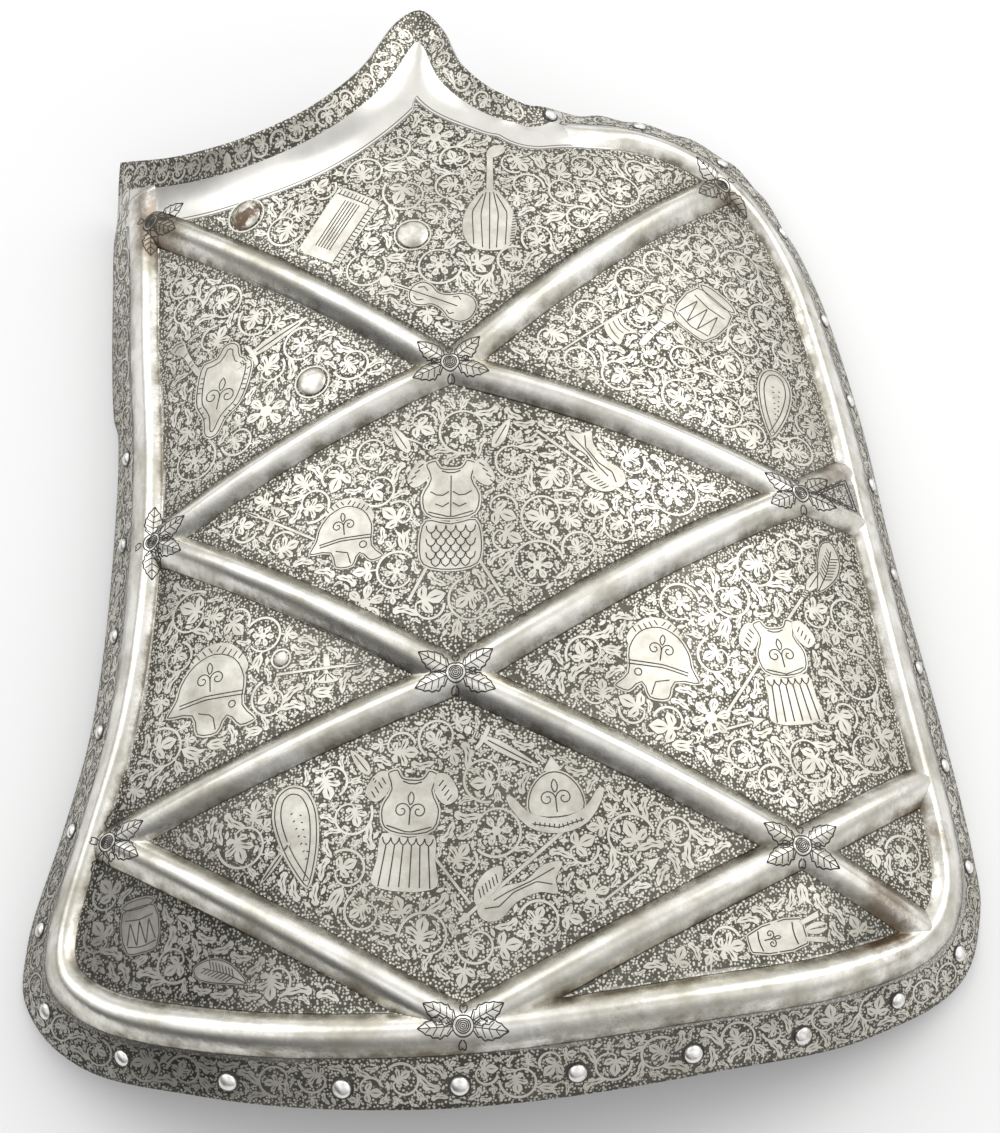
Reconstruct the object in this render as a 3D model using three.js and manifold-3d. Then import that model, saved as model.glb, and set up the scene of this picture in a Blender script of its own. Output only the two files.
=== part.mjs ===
// Side plate of a horse armour: one embossed steel plate, lying hollow side down on its rim.
// A lattice of raised ribs stands on the arched plate, a rib follows its flanged border,
// and a collar flares up along the neck edge. Lining rivets sit round the flange, and
// three strap studs and a small plug close the holes in the panels.
// Millimetres, +Z up, +Y towards the neck edge, origin under the middle on the resting plane.
import * as THREE from "three";
import { mergeVertices } from "three/addons/utils/BufferGeometryUtils.js";
import Module from "manifold-3d";

const wasm = await Module();
wasm.setup();

// Driving dimensions
const plateThickness = 1.6;
const crownHeight = 93; // arch height over the resting plane at its highest
const crownAt = -10; // y of the highest point
const crownRadius = 1500; // gentle curve of the crown line along y
const footHeight = 23; // height of the arch where the side ribs stand
const archHalfWidth = 183.5; // half width of the arch at y = 0
const archTaper = 0.09; // loss of half width per mm towards the neck
const archPower = 2.2; // a little flatter on top than a parabola
const spine = { at0: -1.2, slope: -0.085, bend: -0.00042 }; // x of the arch's middle line along y
const ribHeight = 6.5;
const latticeHalf = 7.2; // half width of a lattice rib at its foot
const fit = 0.4; // clearance between touching pieces
const tailFit = 0.5; // clearance under the plate, where its inner face is less even

// The neck edge from the left corner over the peak: lift is the rim's rise over the arch, band the collar's width.
const neckRows = [
  { name: "left corner", x: -201, y: 211, lift: 7, band: 26 },
  { name: "collar foot", x: -176, y: 200, lift: 10, band: 27 },
  { name: "collar low", x: -140, y: 194, lift: 13, band: 27 },
  { name: "collar hollow", x: -101, y: 203, lift: 14, band: 28 },
  { name: "collar rise", x: -72, y: 227, lift: 14, band: 28 },
  { name: "peak left", x: -54, y: 262, lift: 12, band: 26 },
  { name: "peak tip", x: -43, y: 271, lift: 11, band: 24 },
  { name: "peak right", x: -32, y: 259, lift: 10, band: 24 },
  { name: "collar fall", x: -21, y: 232, lift: 11, band: 24 },
  { name: "collar end", x: -2, y: 217, lift: 8, band: 20 },
  { name: "right end", x: 14, y: 214, lift: 2, band: 14 },
];

// The flanged edge clockwise from the right end of the neck: rim is its height over the resting plane,
// band the flange's plan width, half the border rib's half width, rib the share of the full rib height.
const sideRows = [
  { name: "right end", x: 14, y: 214, rim: 73, band: 12, half: 6, rib: 0 },
  { name: "shoulder start", x: 44, y: 223, rim: 54, band: 15, half: 6, rib: 0.6 },
  { name: "shoulder top", x: 67, y: 227, rim: 43, band: 16, half: 6.5, rib: 1 },
  { name: "shoulder turn", x: 94, y: 225, rim: 33, band: 16, half: 6.5, rib: 1 },
  { name: "shoulder", x: 119, y: 216, rim: 23, band: 15, half: 6.5, rib: 1 },
  { name: "shoulder low", x: 136, y: 203, rim: 13, band: 13, half: 6.5, rib: 1 },
  { name: "shoulder end", x: 151, y: 181, rim: 5, band: 11, half: 6, rib: 1 },
  { name: "right upper", x: 164, y: 153, rim: 1, band: 9.5, half: 6.5, rib: 1 },
  { name: "right waist", x: 182, y: 74, rim: 2, band: 10, half: 7, rib: 1 },
  { name: "right middle", x: 193, y: -3, rim: 3, band: 11, half: 7, rib: 1 },
  { name: "right lower", x: 207, y: -78, rim: 2, band: 13, half: 7, rib: 1 },
  { name: "right hip", x: 218, y: -148, rim: 1, band: 11, half: 7, rib: 1 },
  { name: "right corner", x: 219, y: -178, rim: 1, band: 12, half: 6.5, rib: 1 },
  { name: "right turn", x: 205, y: -211, rim: 9, band: 17, half: 6.5, rib: 1 },
  { name: "hem right", x: 160, y: -237, rim: 28, band: 19, half: 7.5, rib: 1 },
  { name: "hem mid right", x: 82, y: -256, rim: 53, band: 21, half: 7.5, rib: 1 },
  { name: "hem middle", x: -32, y: -271, rim: 62, band: 21, half: 7.5, rib: 1 },
  { name: "hem mid left", x: -128, y: -264, rim: 45, band: 18, half: 7.5, rib: 1 },
  { name: "hem left", x: -187, y: -248, rim: 20, band: 17, half: 7, rib: 1 },
  { name: "left turn", x: -215, y: -221, rim: 4, band: 15, half: 6.5, rib: 1 },
  { name: "left corner low", x: -218, y: -193, rim: 1, band: 14, half: 6, rib: 1 },
  { name: "left hip", x: -206, y: -139, rim: 2, band: 14, half: 6, rib: 1 },
  { name: "left lower", x: -197, y: -92, rim: 3, band: 15, half: 7, rib: 1 },
  { name: "left middle", x: -193.5, y: -19, rim: 3, band: 14.5, half: 7.5, rib: 1 },
  { name: "notch low", x: -196.5, y: 66, rim: 2, band: 12.5, half: 7, rib: 1 },
  { name: "notch high", x: -199, y: 74, rim: 2, band: 14, half: 7, rib: 1 },
  { name: "left upper", x: -205.5, y: 145, rim: 1, band: 14.5, half: 7, rib: 1 },
  { name: "left top", x: -206.5, y: 187, rim: 4, band: 12, half: 7, rib: 0.8 },
  { name: "left corner", x: -201, y: 211, rim: 23, band: 8, half: 7, rib: 0 },
];

// Where the lattice ribs meet, in plan
const junctions = {
  topLeft: [-181, 169],
  topRight: [112, 188],
  upper: [-25, 57],
  leftUpper: [-167, -10],
  right: [139, 8],
  forkUpper: [168, 30],
  forkLower: [179, 2],
  lower: [-21, -93],
  leftLower: [-177, -154],
  rightLower: [128, -162],
  rightUpperArm: [199, -120],
  rightLowerArm: [187, -192],
  hem: [-17, -240],
};
const ribs = [
  ["topLeft", "upper"],
  ["upper", "right"],
  ["topRight", "upper"],
  ["upper", "leftUpper"],
  ["right", "forkUpper"],
  ["right", "forkLower"],
  ["leftUpper", "lower"],
  ["lower", "right"],
  ["lower", "rightLower"],
  ["lower", "leftLower"],
  ["leftLower", "hem"],
  ["hem", "rightLower"],
  ["rightLower", "rightUpperArm"],
  ["rightLower", "rightLowerArm"],
];

// Lining rivets in runs clockwise along the flange: first is the step from the run before, gap the pitch in the
// run, seat the place across the flange as a share of its width from the rim, head the head's radius.
const rivetRuns = [
  { name: "shoulder", count: 4, first: 8, gap: 49.5, seat: 0.45, head: 3.2 },
  { name: "right", count: 7, first: 56, gap: 48.5, seat: 0.55, head: 3.2 },
  { name: "right_corner", count: 2, first: 47, gap: 46, seat: 0.5, head: 3.6 },
  { name: "hem", count: 6, first: 49, gap: 49.5, seat: 0.4, head: 4.2 },
  { name: "left_corner", count: 2, first: 50, gap: 51, seat: 0.55, head: 3.8 },
  { name: "left", count: 6, first: 46, gap: 47, seat: 0.55, head: 3.4 },
];
const rivetShare = { rise: 0.72, shank: 0.4, tail: 0.75, tailRise: 0.3 }; // of the head's radius

// Strap studs and the plug in the panels: plan place, head radius and the dome's rise
const studs = [
  { name: "stud_collar", x: -128, y: 157, head: 8.2, rise: 2.6 },
  { name: "stud_neck", x: -44, y: 132, head: 7.8, rise: 2.2 },
  { name: "stud_left", x: -90, y: 56, head: 7.2, rise: 2.4 },
  { name: "plug_small", x: -99, y: -79.5, head: 3.4, rise: 0.9 },
];
const studShare = { shank: 0.34, tail: 0.6, tailRise: 0.2 };

// Mesh spacing
const edgeStep = 10; // along the outline
const ribStep = 15; // along a rib
const panelStep = 30; // between points inside a panel
const closest = 2.6; // points nearer than this are merged into one
const seatPoints = 4; // round each rivet
const roundSides = 8;
const holeSides = 8;

const steel = new THREE.MeshStandardMaterial({ color: 0x9c9a94, metalness: 1, roughness: 0.34 });
const rivetSteel = new THREE.MeshStandardMaterial({ color: 0xc4c2bd, metalness: 1, roughness: 0.25 });
const studSteel = new THREE.MeshStandardMaterial({ color: 0xa8a296, metalness: 1, roughness: 0.38 });

// An edge as a smooth line of samples that carry their rows' columns.
function edgeLine(rows, samplesPerRow = 14) {
  const curve = new THREE.CatmullRomCurve3(
    rows.map((row) => new THREE.Vector3(row.x, row.y, 0)),
    false,
    "centripetal",
  );
  const columns = Object.keys(rows[0]).filter((key) => !["name", "x", "y"].includes(key));
  const total = (rows.length - 1) * samplesPerRow;
  const line = [];
  let along = 0;
  for (let i = 0; i <= total; i++) {
    const at = Math.min(i / samplesPerRow, rows.length - 1 - 1e-9);
    const row = Math.floor(at);
    const share = THREE.MathUtils.smoothstep(at - row, 0, 1);
    const sample = curve.getPoint(i / total);
    for (const key of columns)
      sample[key] = THREE.MathUtils.lerp(rows[row][key], rows[row + 1][key], share);
    if (i > 0) along += sample.distanceTo(line[i - 1]);
    sample.along = along;
    line.push(sample);
  }
  return line;
}

const neckEdge = edgeLine(neckRows);
const sideEdge = edgeLine(sideRows);
const outline = [...neckEdge.slice(0, -1), ...sideEdge.slice(0, -1)];

// A point of an edge between two samples, with the columns there and the way into the plate.
function between(a, b, share) {
  const at = {};
  for (const key of Object.keys(a)) at[key] = THREE.MathUtils.lerp(a[key], b[key], share);
  const length = Math.hypot(b.x - a.x, b.y - a.y);
  at.inwardX = (b.y - a.y) / length;
  at.inwardY = -(b.x - a.x) / length;
  return at;
}

// The closest point of an edge to a plan point, with the columns there and its distance, negative outside the plate.
function nearest(line, x, y) {
  let best = { away: Infinity };
  for (let i = 0; i + 1 < line.length; i++) {
    const a = line[i];
    const b = line[i + 1];
    const dx = b.x - a.x;
    const dy = b.y - a.y;
    const share = THREE.MathUtils.clamp(((x - a.x) * dx + (y - a.y) * dy) / (dx * dx + dy * dy), 0, 1);
    const away = Math.hypot(x - a.x - share * dx, y - a.y - share * dy);
    const atEnd = (i === 0 && share === 0) || (i + 2 === line.length && share === 1);
    const outside = !atEnd && dx * (y - a.y) - dy * (x - a.x) > 0;
    if (away < best.away) best = { away, a, b, share, outside };
  }
  return { ...between(best.a, best.b, best.share), away: best.outside ? -best.away : best.away };
}

// The point of an edge at a length along it.
function walk(line, along) {
  const i = Math.max(1, line.findIndex((sample) => sample.along >= along));
  const a = line[i - 1];
  const b = line[i];
  return between(a, b, (along - a.along) / (b.along - a.along));
}

// The arched plate before its edges are turned and its ribs raised.
function arch(x, y) {
  const crown = crownHeight - (y - crownAt) ** 2 / (2 * crownRadius);
  const middle = spine.at0 + spine.slope * y + spine.bend * y * y;
  const across = Math.abs(x - middle) / (archHalfWidth - archTaper * y);
  return footHeight + (crown - footHeight) * (1 - across ** archPower);
}

const bead = (away, half) => Math.max(0, 1 - (away / half) ** 2);

function awayFromRib([from, to], x, y) {
  const [ax, ay] = junctions[from];
  const [bx, by] = junctions[to];
  const dx = bx - ax;
  const dy = by - ay;
  const share = THREE.MathUtils.clamp(((x - ax) * dx + (y - ay) * dy) / (dx * dx + dy * dy), 0, 1);
  return Math.hypot(x - ax - share * dx, y - ay - share * dy);
}

// Height of the plate's outer face over the resting plane.
function height(x, y) {
  const side = nearest(sideEdge, x, y);
  const neck = nearest(neckEdge, x, y);
  let z = arch(x, y);
  if (side.away < side.band) {
    const root = arch(side.x + side.band * side.inwardX, side.y + side.band * side.inwardY);
    z = THREE.MathUtils.lerp(side.rim, root, side.away / side.band);
  }
  if (neck.away < neck.band) z += neck.lift * (1 - neck.away / neck.band) ** 2;
  let rise = side.rib * bead(side.away - side.band - side.half, side.half);
  const clear = THREE.MathUtils.clamp((side.away - side.band) / side.half, 0, 1); // ribs stop at the flange
  for (const rib of ribs) rise = Math.max(rise, clear * bead(awayFromRib(rib, x, y), latticeHalf));
  return z + ribHeight * rise;
}

function outward(x, y, reach = 1) {
  const slopeX = (height(x + reach, y) - height(x - reach, y)) / (2 * reach);
  const slopeY = (height(x, y + reach) - height(x, y - reach)) / (2 * reach);
  return new THREE.Vector3(-slopeX, -slopeY, 1).normalize();
}

function insideOutline(x, y) {
  let inside = false;
  outline.forEach((b, i) => {
    const a = outline.at(i - 1);
    if (a.y > y !== b.y > y && x < a.x + ((y - a.y) / (b.y - a.y)) * (b.x - a.x)) inside = !inside;
  });
  return inside;
}

// Every rivet and stud with its plan place and the sizes of its head, shank and tail.
function placeFasteners() {
  const sized = (head, rise, share) => ({
    head,
    rise,
    shank: share.shank * head,
    tail: share.tail * head,
    tailRise: share.tailRise * head,
  });
  const placed = studs.map(({ name, x, y, head, rise }) => ({
    name,
    x,
    y,
    sizes: sized(head, rise, studShare),
    material: studSteel,
  }));
  let along = 0;
  for (const run of rivetRuns)
    for (let i = 0; i < run.count; i++) {
      along += i === 0 ? run.first : run.gap;
      const at = walk(sideEdge, along);
      const depth = run.seat * at.band;
      placed.push({
        name: `rivet_${run.name}_${i + 1}`,
        x: at.x + depth * at.inwardX,
        y: at.y + depth * at.inwardY,
        sizes: sized(run.head, rivetShare.rise * run.head, rivetShare),
        material: rivetSteel,
      });
    }
  return placed;
}

const fasteners = placeFasteners();

// Plan points of the plate's mesh: the outline and the rivets' seats first, then rows along each rib and band,
// then the panels.
function planPoints() {
  const points = [];
  const add = (x, y, clear) => {
    if (points.every((p) => Math.hypot(p.x - x, p.y - y) >= clear)) points.push(new THREE.Vector2(x, y));
  };
  const edgeLoop = [];
  for (const line of [neckEdge, sideEdge]) {
    const count = Math.round(line.at(-1).along / edgeStep);
    for (let i = 0; i < count; i++) {
      const at = walk(line, (i / count) * line.at(-1).along);
      edgeLoop.push(points.length);
      points.push(new THREE.Vector2(at.x, at.y));
    }
  }
  const addInside = (x, y, clear) => {
    if (insideOutline(x, y)) add(x, y, clear);
  };
  for (const { x, y, sizes } of fasteners) {
    add(x, y, 0);
    for (let i = 0; i < seatPoints; i++) {
      const angle = (i / seatPoints) * 2 * Math.PI;
      const reach = 1.2 * sizes.head;
      addInside(x + reach * Math.cos(angle), y + reach * Math.sin(angle), 1.5 * closest);
    }
  }
  const sideLength = sideEdge.at(-1).along;
  for (let along = ribStep / 2; along < sideLength; along += ribStep) {
    const at = walk(sideEdge, along);
    for (const halves of [1, 0, 2, 0.5, 1.5]) {
      const depth = at.band + halves * at.half;
      addInside(at.x + depth * at.inwardX, at.y + depth * at.inwardY, closest);
    }
  }
  for (const [from, to] of ribs) {
    const start = new THREE.Vector2(...junctions[from]);
    const run = new THREE.Vector2(...junctions[to]).sub(start);
    const across = new THREE.Vector2(-run.y, run.x).normalize();
    const steps = Math.round(run.length() / ribStep);
    for (let i = 0; i <= steps; i++)
      for (const share of [0, -1, 1, -0.5, 0.5]) {
        const at = start.clone().addScaledVector(run, i / steps).addScaledVector(across, share * latticeHalf);
        addInside(at.x, at.y, closest);
      }
  }
  for (let along = ribStep / 2; along < neckEdge.at(-1).along; along += ribStep) {
    const at = walk(neckEdge, along);
    for (const share of [1 / 3, 2 / 3, 1]) {
      const depth = share * at.band;
      addInside(at.x + depth * at.inwardX, at.y + depth * at.inwardY, 2 * closest);
    }
  }
  const box = new THREE.Box2().setFromPoints(points);
  for (let row = 0, y = box.min.y; y < box.max.y; row++, y += panelStep * Math.sin(Math.PI / 3))
    for (let x = box.min.x + (row % 2) * (panelStep / 2); x < box.max.x; x += panelStep)
      addInside(x, y, panelStep / 2);
  return { points, edgeLoop };
}

// Delaunay triangles of plan points, each counter-clockwise from above.
function triangulate(points) {
  const far = 1e4;
  const all = [...points, { x: -far, y: -far }, { x: far, y: -far }, { x: 0, y: far }];
  const circled = (a, b, c) => {
    const [p, q, r] = [all[a], all[b], all[c]];
    const d = 2 * (p.x * (q.y - r.y) + q.x * (r.y - p.y) + r.x * (p.y - q.y));
    const [pp, qq, rr] = [p, q, r].map((v) => v.x * v.x + v.y * v.y);
    const x = (pp * (q.y - r.y) + qq * (r.y - p.y) + rr * (p.y - q.y)) / d;
    const y = (pp * (r.x - q.x) + qq * (p.x - r.x) + rr * (q.x - p.x)) / d;
    return { corners: [a, b, c], x, y, reach: Math.hypot(p.x - x, p.y - y) };
  };
  let triangles = [circled(points.length, points.length + 1, points.length + 2)];
  points.forEach((point, index) => {
    const open = new Map();
    triangles = triangles.filter((t) => {
      if (Math.hypot(point.x - t.x, point.y - t.y) >= t.reach) return true;
      for (let i = 0; i < 3; i++) {
        const a = t.corners[i];
        const b = t.corners[(i + 1) % 3];
        if (!open.delete(`${b},${a}`)) open.set(`${a},${b}`, [a, b]);
      }
      return false;
    });
    for (const [a, b] of open.values()) triangles.push(circled(a, b, index));
  });
  return triangles.map((t) => t.corners).filter((corners) => corners.every((i) => i < points.length));
}

function solidFrom(vertices, faces) {
  const vertProperties = new Float32Array(vertices.flatMap((v) => [v.x, v.y, v.z]));
  return new wasm.Manifold(
    new wasm.Mesh({ numProp: 3, vertProperties, triVerts: new Uint32Array(faces.flat()) }),
  );
}

function solidOf(geometry) {
  const bare = geometry.clone();
  bare.deleteAttribute("normal");
  bare.deleteAttribute("uv");
  const merged = mergeVertices(bare, 1e-4);
  return new wasm.Manifold(
    new wasm.Mesh({
      numProp: 3,
      vertProperties: merged.attributes.position.array,
      triVerts: new Uint32Array(merged.index.array),
    }),
  );
}

function geometryOf(solid) {
  const { numProp, vertProperties, triVerts } = solid.getMesh();
  const position = new Float32Array((vertProperties.length / numProp) * 3);
  for (let i = 0; i < position.length / 3; i++)
    position.set(vertProperties.subarray(i * numProp, i * numProp + 3), i * 3);
  const geometry = new THREE.BufferGeometry();
  geometry.setAttribute("position", new THREE.BufferAttribute(position, 3));
  geometry.setIndex(new THREE.BufferAttribute(triVerts, 1));
  geometry.computeVertexNormals();
  return geometry;
}

// The embossed plate: outer face, inner face one thickness below it, and the rim between them.
function plateSolid() {
  const { points, edgeLoop } = planPoints();
  const faces = triangulate(points).filter((corners) => {
    const [a, b, c] = corners.map((i) => points[i]);
    return insideOutline((a.x + b.x + c.x) / 3, (a.y + b.y + c.y) / 3);
  });
  const outer = points.map((p) => new THREE.Vector3(p.x, p.y, height(p.x, p.y)));
  const inner = outer.map((p) => p.clone().addScaledVector(outward(p.x, p.y), -plateThickness));
  const under = points.length;
  const rim = edgeLoop.flatMap((from, i) => {
    const to = edgeLoop[(i + 1) % edgeLoop.length];
    return [
      [from, to, under + to],
      [from, under + to, under + from],
    ];
  });
  const inside = faces.map(([a, b, c]) => [under + c, under + b, under + a]);
  return solidFrom([...outer, ...inner], [...faces, ...inside, ...rim]);
}

// A rivet through the plate: domed head from z = over up, shank, and a flat peened tail from z = under down.
function rivetGeometry({ head, rise, shank, tail, tailRise, over, under }) {
  const dome = [0.7, 1].map((share) => [
    share * head,
    over + 0.25 * rise + 0.75 * rise * Math.sqrt(1 - share * share),
  ]);
  const profile = [
    [0, under - tailRise],
    [tail, under - tailRise],
    [tail, under],
    [shank, under],
    [shank, over],
    [head, over],
    ...dome.reverse(),
    [0, over + rise],
  ];
  const lathe = new THREE.LatheGeometry(
    profile.map(([radius, z]) => new THREE.Vector2(radius, z)),
    roundSides,
  );
  return lathe.rotateX(Math.PI / 2);
}

// Stands a group on the plate's outer face, its z along the face's normal over the given reach.
function onPlate(x, y, reach) {
  const seat = new THREE.Group();
  const up = new THREE.Vector3(0, 0, 1);
  seat.position.set(x, y, height(x, y));
  seat.quaternion.setFromUnitVectors(up, outward(x, y, reach));
  seat.updateMatrixWorld(true);
  return seat;
}

// Heights of the plate's outer face over a seat's own plane, on a ring round it.
function ringHeights(seat, radius, places = 16) {
  return Array.from({ length: places }, (_, i) => {
    const angle = (i / places) * 2 * Math.PI;
    const at = seat.localToWorld(new THREE.Vector3(radius * Math.cos(angle), radius * Math.sin(angle), 0));
    return (height(at.x, at.y) - at.z) * outward(seat.position.x, seat.position.y, radius).z;
  });
}

function holeFor(seat, radius) {
  const depth = 8 * plateThickness;
  const bore = new THREE.CylinderGeometry(radius, radius, depth, holeSides).rotateX(Math.PI / 2);
  return solidOf(bore.applyMatrix4(seat.matrixWorld));
}

const sideplate = new THREE.Group();
let plate = plateSolid();

for (const { name, x, y, sizes, material } of fasteners) {
  const seat = onPlate(x, y, sizes.head);
  sizes.over = Math.max(0, ...ringHeights(seat, sizes.head)) + fit;
  sizes.under = Math.min(0, ...ringHeights(seat, sizes.tail)) - plateThickness - tailFit;
  const rivet = new THREE.Mesh(rivetGeometry(sizes), material);
  rivet.name = name;
  seat.add(rivet);
  sideplate.add(seat);
  plate = plate.subtract(holeFor(seat, sizes.shank + fit));
}

const plateMesh = new THREE.Mesh(geometryOf(plate), steel);
plateMesh.name = "plate";
sideplate.add(plateMesh);

export default sideplate;
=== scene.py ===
import math
from collections import deque

import bmesh
import bpy
import numpy as np
from mathutils import Matrix, Vector


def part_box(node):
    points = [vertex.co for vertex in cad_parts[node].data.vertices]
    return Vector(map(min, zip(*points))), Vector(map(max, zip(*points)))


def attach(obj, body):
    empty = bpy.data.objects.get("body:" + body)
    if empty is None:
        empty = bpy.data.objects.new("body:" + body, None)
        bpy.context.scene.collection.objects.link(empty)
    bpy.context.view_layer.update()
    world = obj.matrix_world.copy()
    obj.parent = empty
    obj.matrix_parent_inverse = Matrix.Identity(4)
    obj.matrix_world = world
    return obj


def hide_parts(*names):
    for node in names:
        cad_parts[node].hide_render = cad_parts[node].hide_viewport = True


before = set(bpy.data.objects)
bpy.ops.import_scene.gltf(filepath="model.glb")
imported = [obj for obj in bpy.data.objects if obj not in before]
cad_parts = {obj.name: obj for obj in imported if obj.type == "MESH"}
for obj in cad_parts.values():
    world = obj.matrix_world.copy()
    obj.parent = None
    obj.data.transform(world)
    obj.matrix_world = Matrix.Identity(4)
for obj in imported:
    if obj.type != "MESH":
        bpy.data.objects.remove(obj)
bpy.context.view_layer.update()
mm = 0.001  # the sizes below are millimetres, and meshes are scaled to metres as they are made
scene = bpy.context.scene
print("frame loaded:", len(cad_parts), "nodes")

# the arched plate
plateForm = dict(thickness=1.6, crownHeight=93, crownAt=-10, crownRadius=1500, footHeight=23,
                 halfWidth=183.5, taper=0.09, power=2.2, spineAt=-1.2, spineSlope=-0.085,
                 spineBend=-0.00042, gridStep=2.7)
ribForm = dict(height=6.5, half=9.0, fullness=1.5, wall=0.8, alongStep=3.0, rows=16,
               sink=0.3, footFrom=0.8, buried=0.4, dive=1.4, diveFrom=0.3,  # feet and ends of the skin
               endCut=17, evened=60, wider=2,  # the border's rib
               narrower=1.5, lower=0.9, webHeight=6.0)  # the sheet under the ribs, and the fork's web

neckColumns = ("x", "y", "lift", "band")  # lift: rise of the rim over the arch, band: width of the collar
neckRows = {
    "left corner": (-201, 211, 7, 26),
    "collar foot": (-176, 200, 10, 27),
    "collar low": (-140, 194, 13, 27),
    "collar hollow": (-101, 203, 14, 28),
    "collar rise": (-72, 227, 14, 28),
    "peak left": (-54, 262, 12, 26),
    "peak tip": (-43, 271, 11, 24),
    "peak right": (-32, 259, 10, 24),
    "collar fall": (-21, 232, 11, 24),
    "collar end": (-2, 217, 8, 20),
    "right end": (14, 214, 2, 14),
}
# rim: height of the edge, band: width of the flange, half and rib: half width and share of the border's rib
sideColumns = ("x", "y", "rim", "band", "half", "rib")
sideRows = {
    "right end": (14, 214, 73, 12, 6, 0),
    "shoulder start": (44, 223, 54, 15, 6, 0.6),
    "shoulder top": (67, 227, 43, 16, 6.5, 1),
    "shoulder turn": (94, 225, 33, 16, 6.5, 1),
    "shoulder": (119, 216, 23, 15, 6.5, 1),
    "shoulder low": (136, 203, 13, 13, 6.5, 1),
    "shoulder end": (151, 181, 5, 11, 6, 1),
    "right upper": (164, 153, 1, 9.5, 6.5, 1),
    "right waist": (182, 74, 2, 10, 7, 1),
    "right middle": (193, -3, 3, 11, 7, 1),
    "right lower": (207, -78, 2, 13, 7, 1),
    "right hip": (218, -148, 1, 11, 7, 1),
    "right corner": (219, -178, 1, 12, 6.5, 1),
    "right turn": (205, -211, 9, 17, 6.5, 1),
    "hem right": (160, -237, 28, 19, 7.5, 1),
    "hem mid right": (82, -256, 53, 21, 7.5, 1),
    "hem middle": (-32, -271, 62, 21, 7.5, 1),
    "hem mid left": (-128, -264, 45, 18, 7.5, 1),
    "hem left": (-187, -248, 20, 17, 7, 1),
    "left turn": (-215, -221, 4, 15, 6.5, 1),
    "left corner low": (-218, -193, 1, 14, 6, 1),
    "left hip": (-206, -139, 2, 14, 6, 1),
    "left lower": (-197, -92, 3, 15, 7, 1),
    "left middle": (-193.5, -19, 3, 14.5, 7.5, 1),
    "notch low": (-196.5, 66, 2, 12.5, 7, 1),
    "notch high": (-199, 74, 2, 14, 7, 1),
    "left upper": (-205.5, 145, 1, 14.5, 7, 1),
    "left top": (-206.5, 187, 4, 12, 7, 0.3),
    "left corner": (-201, 211, 23, 8, 7, 0),
}
junctions = {
    "topLeft": (-181, 169),
    "topRight": (112, 188),
    "upper": (-25, 57),
    "leftUpper": (-167, -10),
    "right": (139, 8),
    "forkUpper": (168, 30),
    "forkLower": (179, 2),
    "lower": (-21, -93),
    "leftLower": (-177, -154),
    "rightLower": (128, -162),
    "rightUpperArm": (199, -120),
    "rightLowerArm": (187, -192),
    "hem": (-17, -240),
}
ribs = [
    ("topLeft", "upper"), ("upper", "right"), ("topRight", "upper"), ("upper", "leftUpper"),
    ("right", "forkUpper"), ("right", "forkLower"), ("leftUpper", "lower"), ("lower", "right"),
    ("lower", "rightLower"), ("lower", "leftLower"), ("leftLower", "hem"), ("hem", "rightLower"),
    ("rightLower", "rightUpperArm"), ("rightLower", "rightLowerArm"),
]
forkWeb = ((139, 8), (173, 3.4), (166, 28))  # corners of the flat raised web between the arms of the fork


def smoothStep(low, high, value):
    share = np.clip((value - low) / (high - low), 0, 1)
    return share * share * (3 - 2 * share)


def curvePoint(before, start, end, after, share):  # centripetal curve between start and end
    def gap(a, b):
        return max(math.sqrt(np.linalg.norm(b - a)), 1e-4)

    first, middle, last = gap(before, start), gap(start, end), gap(end, after)
    leave = (start - before) / first - (end - before) / (first + middle) + (end - start) / middle
    reach = (end - start) / middle - (after - start) / (middle + last) + (after - end) / last
    leave, reach = leave * middle, reach * middle
    bend = 3 * (end - start) - 2 * leave - reach
    twist = 2 * (start - end) + leave + reach
    return start + share * (leave + share * (bend + share * twist))


perRow = 14  # samples of an edge from one row of its table to the next


def edgeLine(rows, columns):  # samples of an edge, with its columns eased between the rows
    table = np.array(list(rows.values()), float)
    places = np.vstack([2 * table[0, :2] - table[1, :2], table[:, :2], 2 * table[-1, :2] - table[-2, :2]])
    samples = []
    for i in range((len(table) - 1) * perRow + 1):
        row = min(i // perRow, len(table) - 2)
        share = i / perRow - row
        xy = curvePoint(*places[row:row + 4], share)
        ease = smoothStep(0, 1, share)
        samples.append([*xy, *(table[row, 2:] * (1 - ease) + table[row + 1, 2:] * ease)])
    samples = np.array(samples)
    line = {name: samples[:, k] for k, name in enumerate(columns)}
    steps = np.hypot(np.diff(line["x"]), np.diff(line["y"]))
    line["along"] = np.concatenate([[0], np.cumsum(steps)])
    return line


neckEdge = edgeLine(neckRows, neckColumns)
sideEdge = edgeLine(sideRows, sideColumns)


def alongAt(line, rows, name):  # length along an edge to a row of its table
    return line["along"][perRow * list(rows).index(name)]


def walk(line, along):  # points of an edge at lengths along it, with the way into the plate
    along = np.clip(np.asarray(along, float), 0, line["along"][-1])
    at = {name: np.interp(along, line["along"], values) for name, values in line.items()}
    k = np.clip(np.searchsorted(line["along"], along), 1, len(line["along"]) - 1)
    dx = line["x"][k] - line["x"][k - 1]
    dy = line["y"][k] - line["y"][k - 1]
    length = np.hypot(dx, dy)
    at["inX"], at["inY"] = dy / length, -dx / length
    return at


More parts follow.
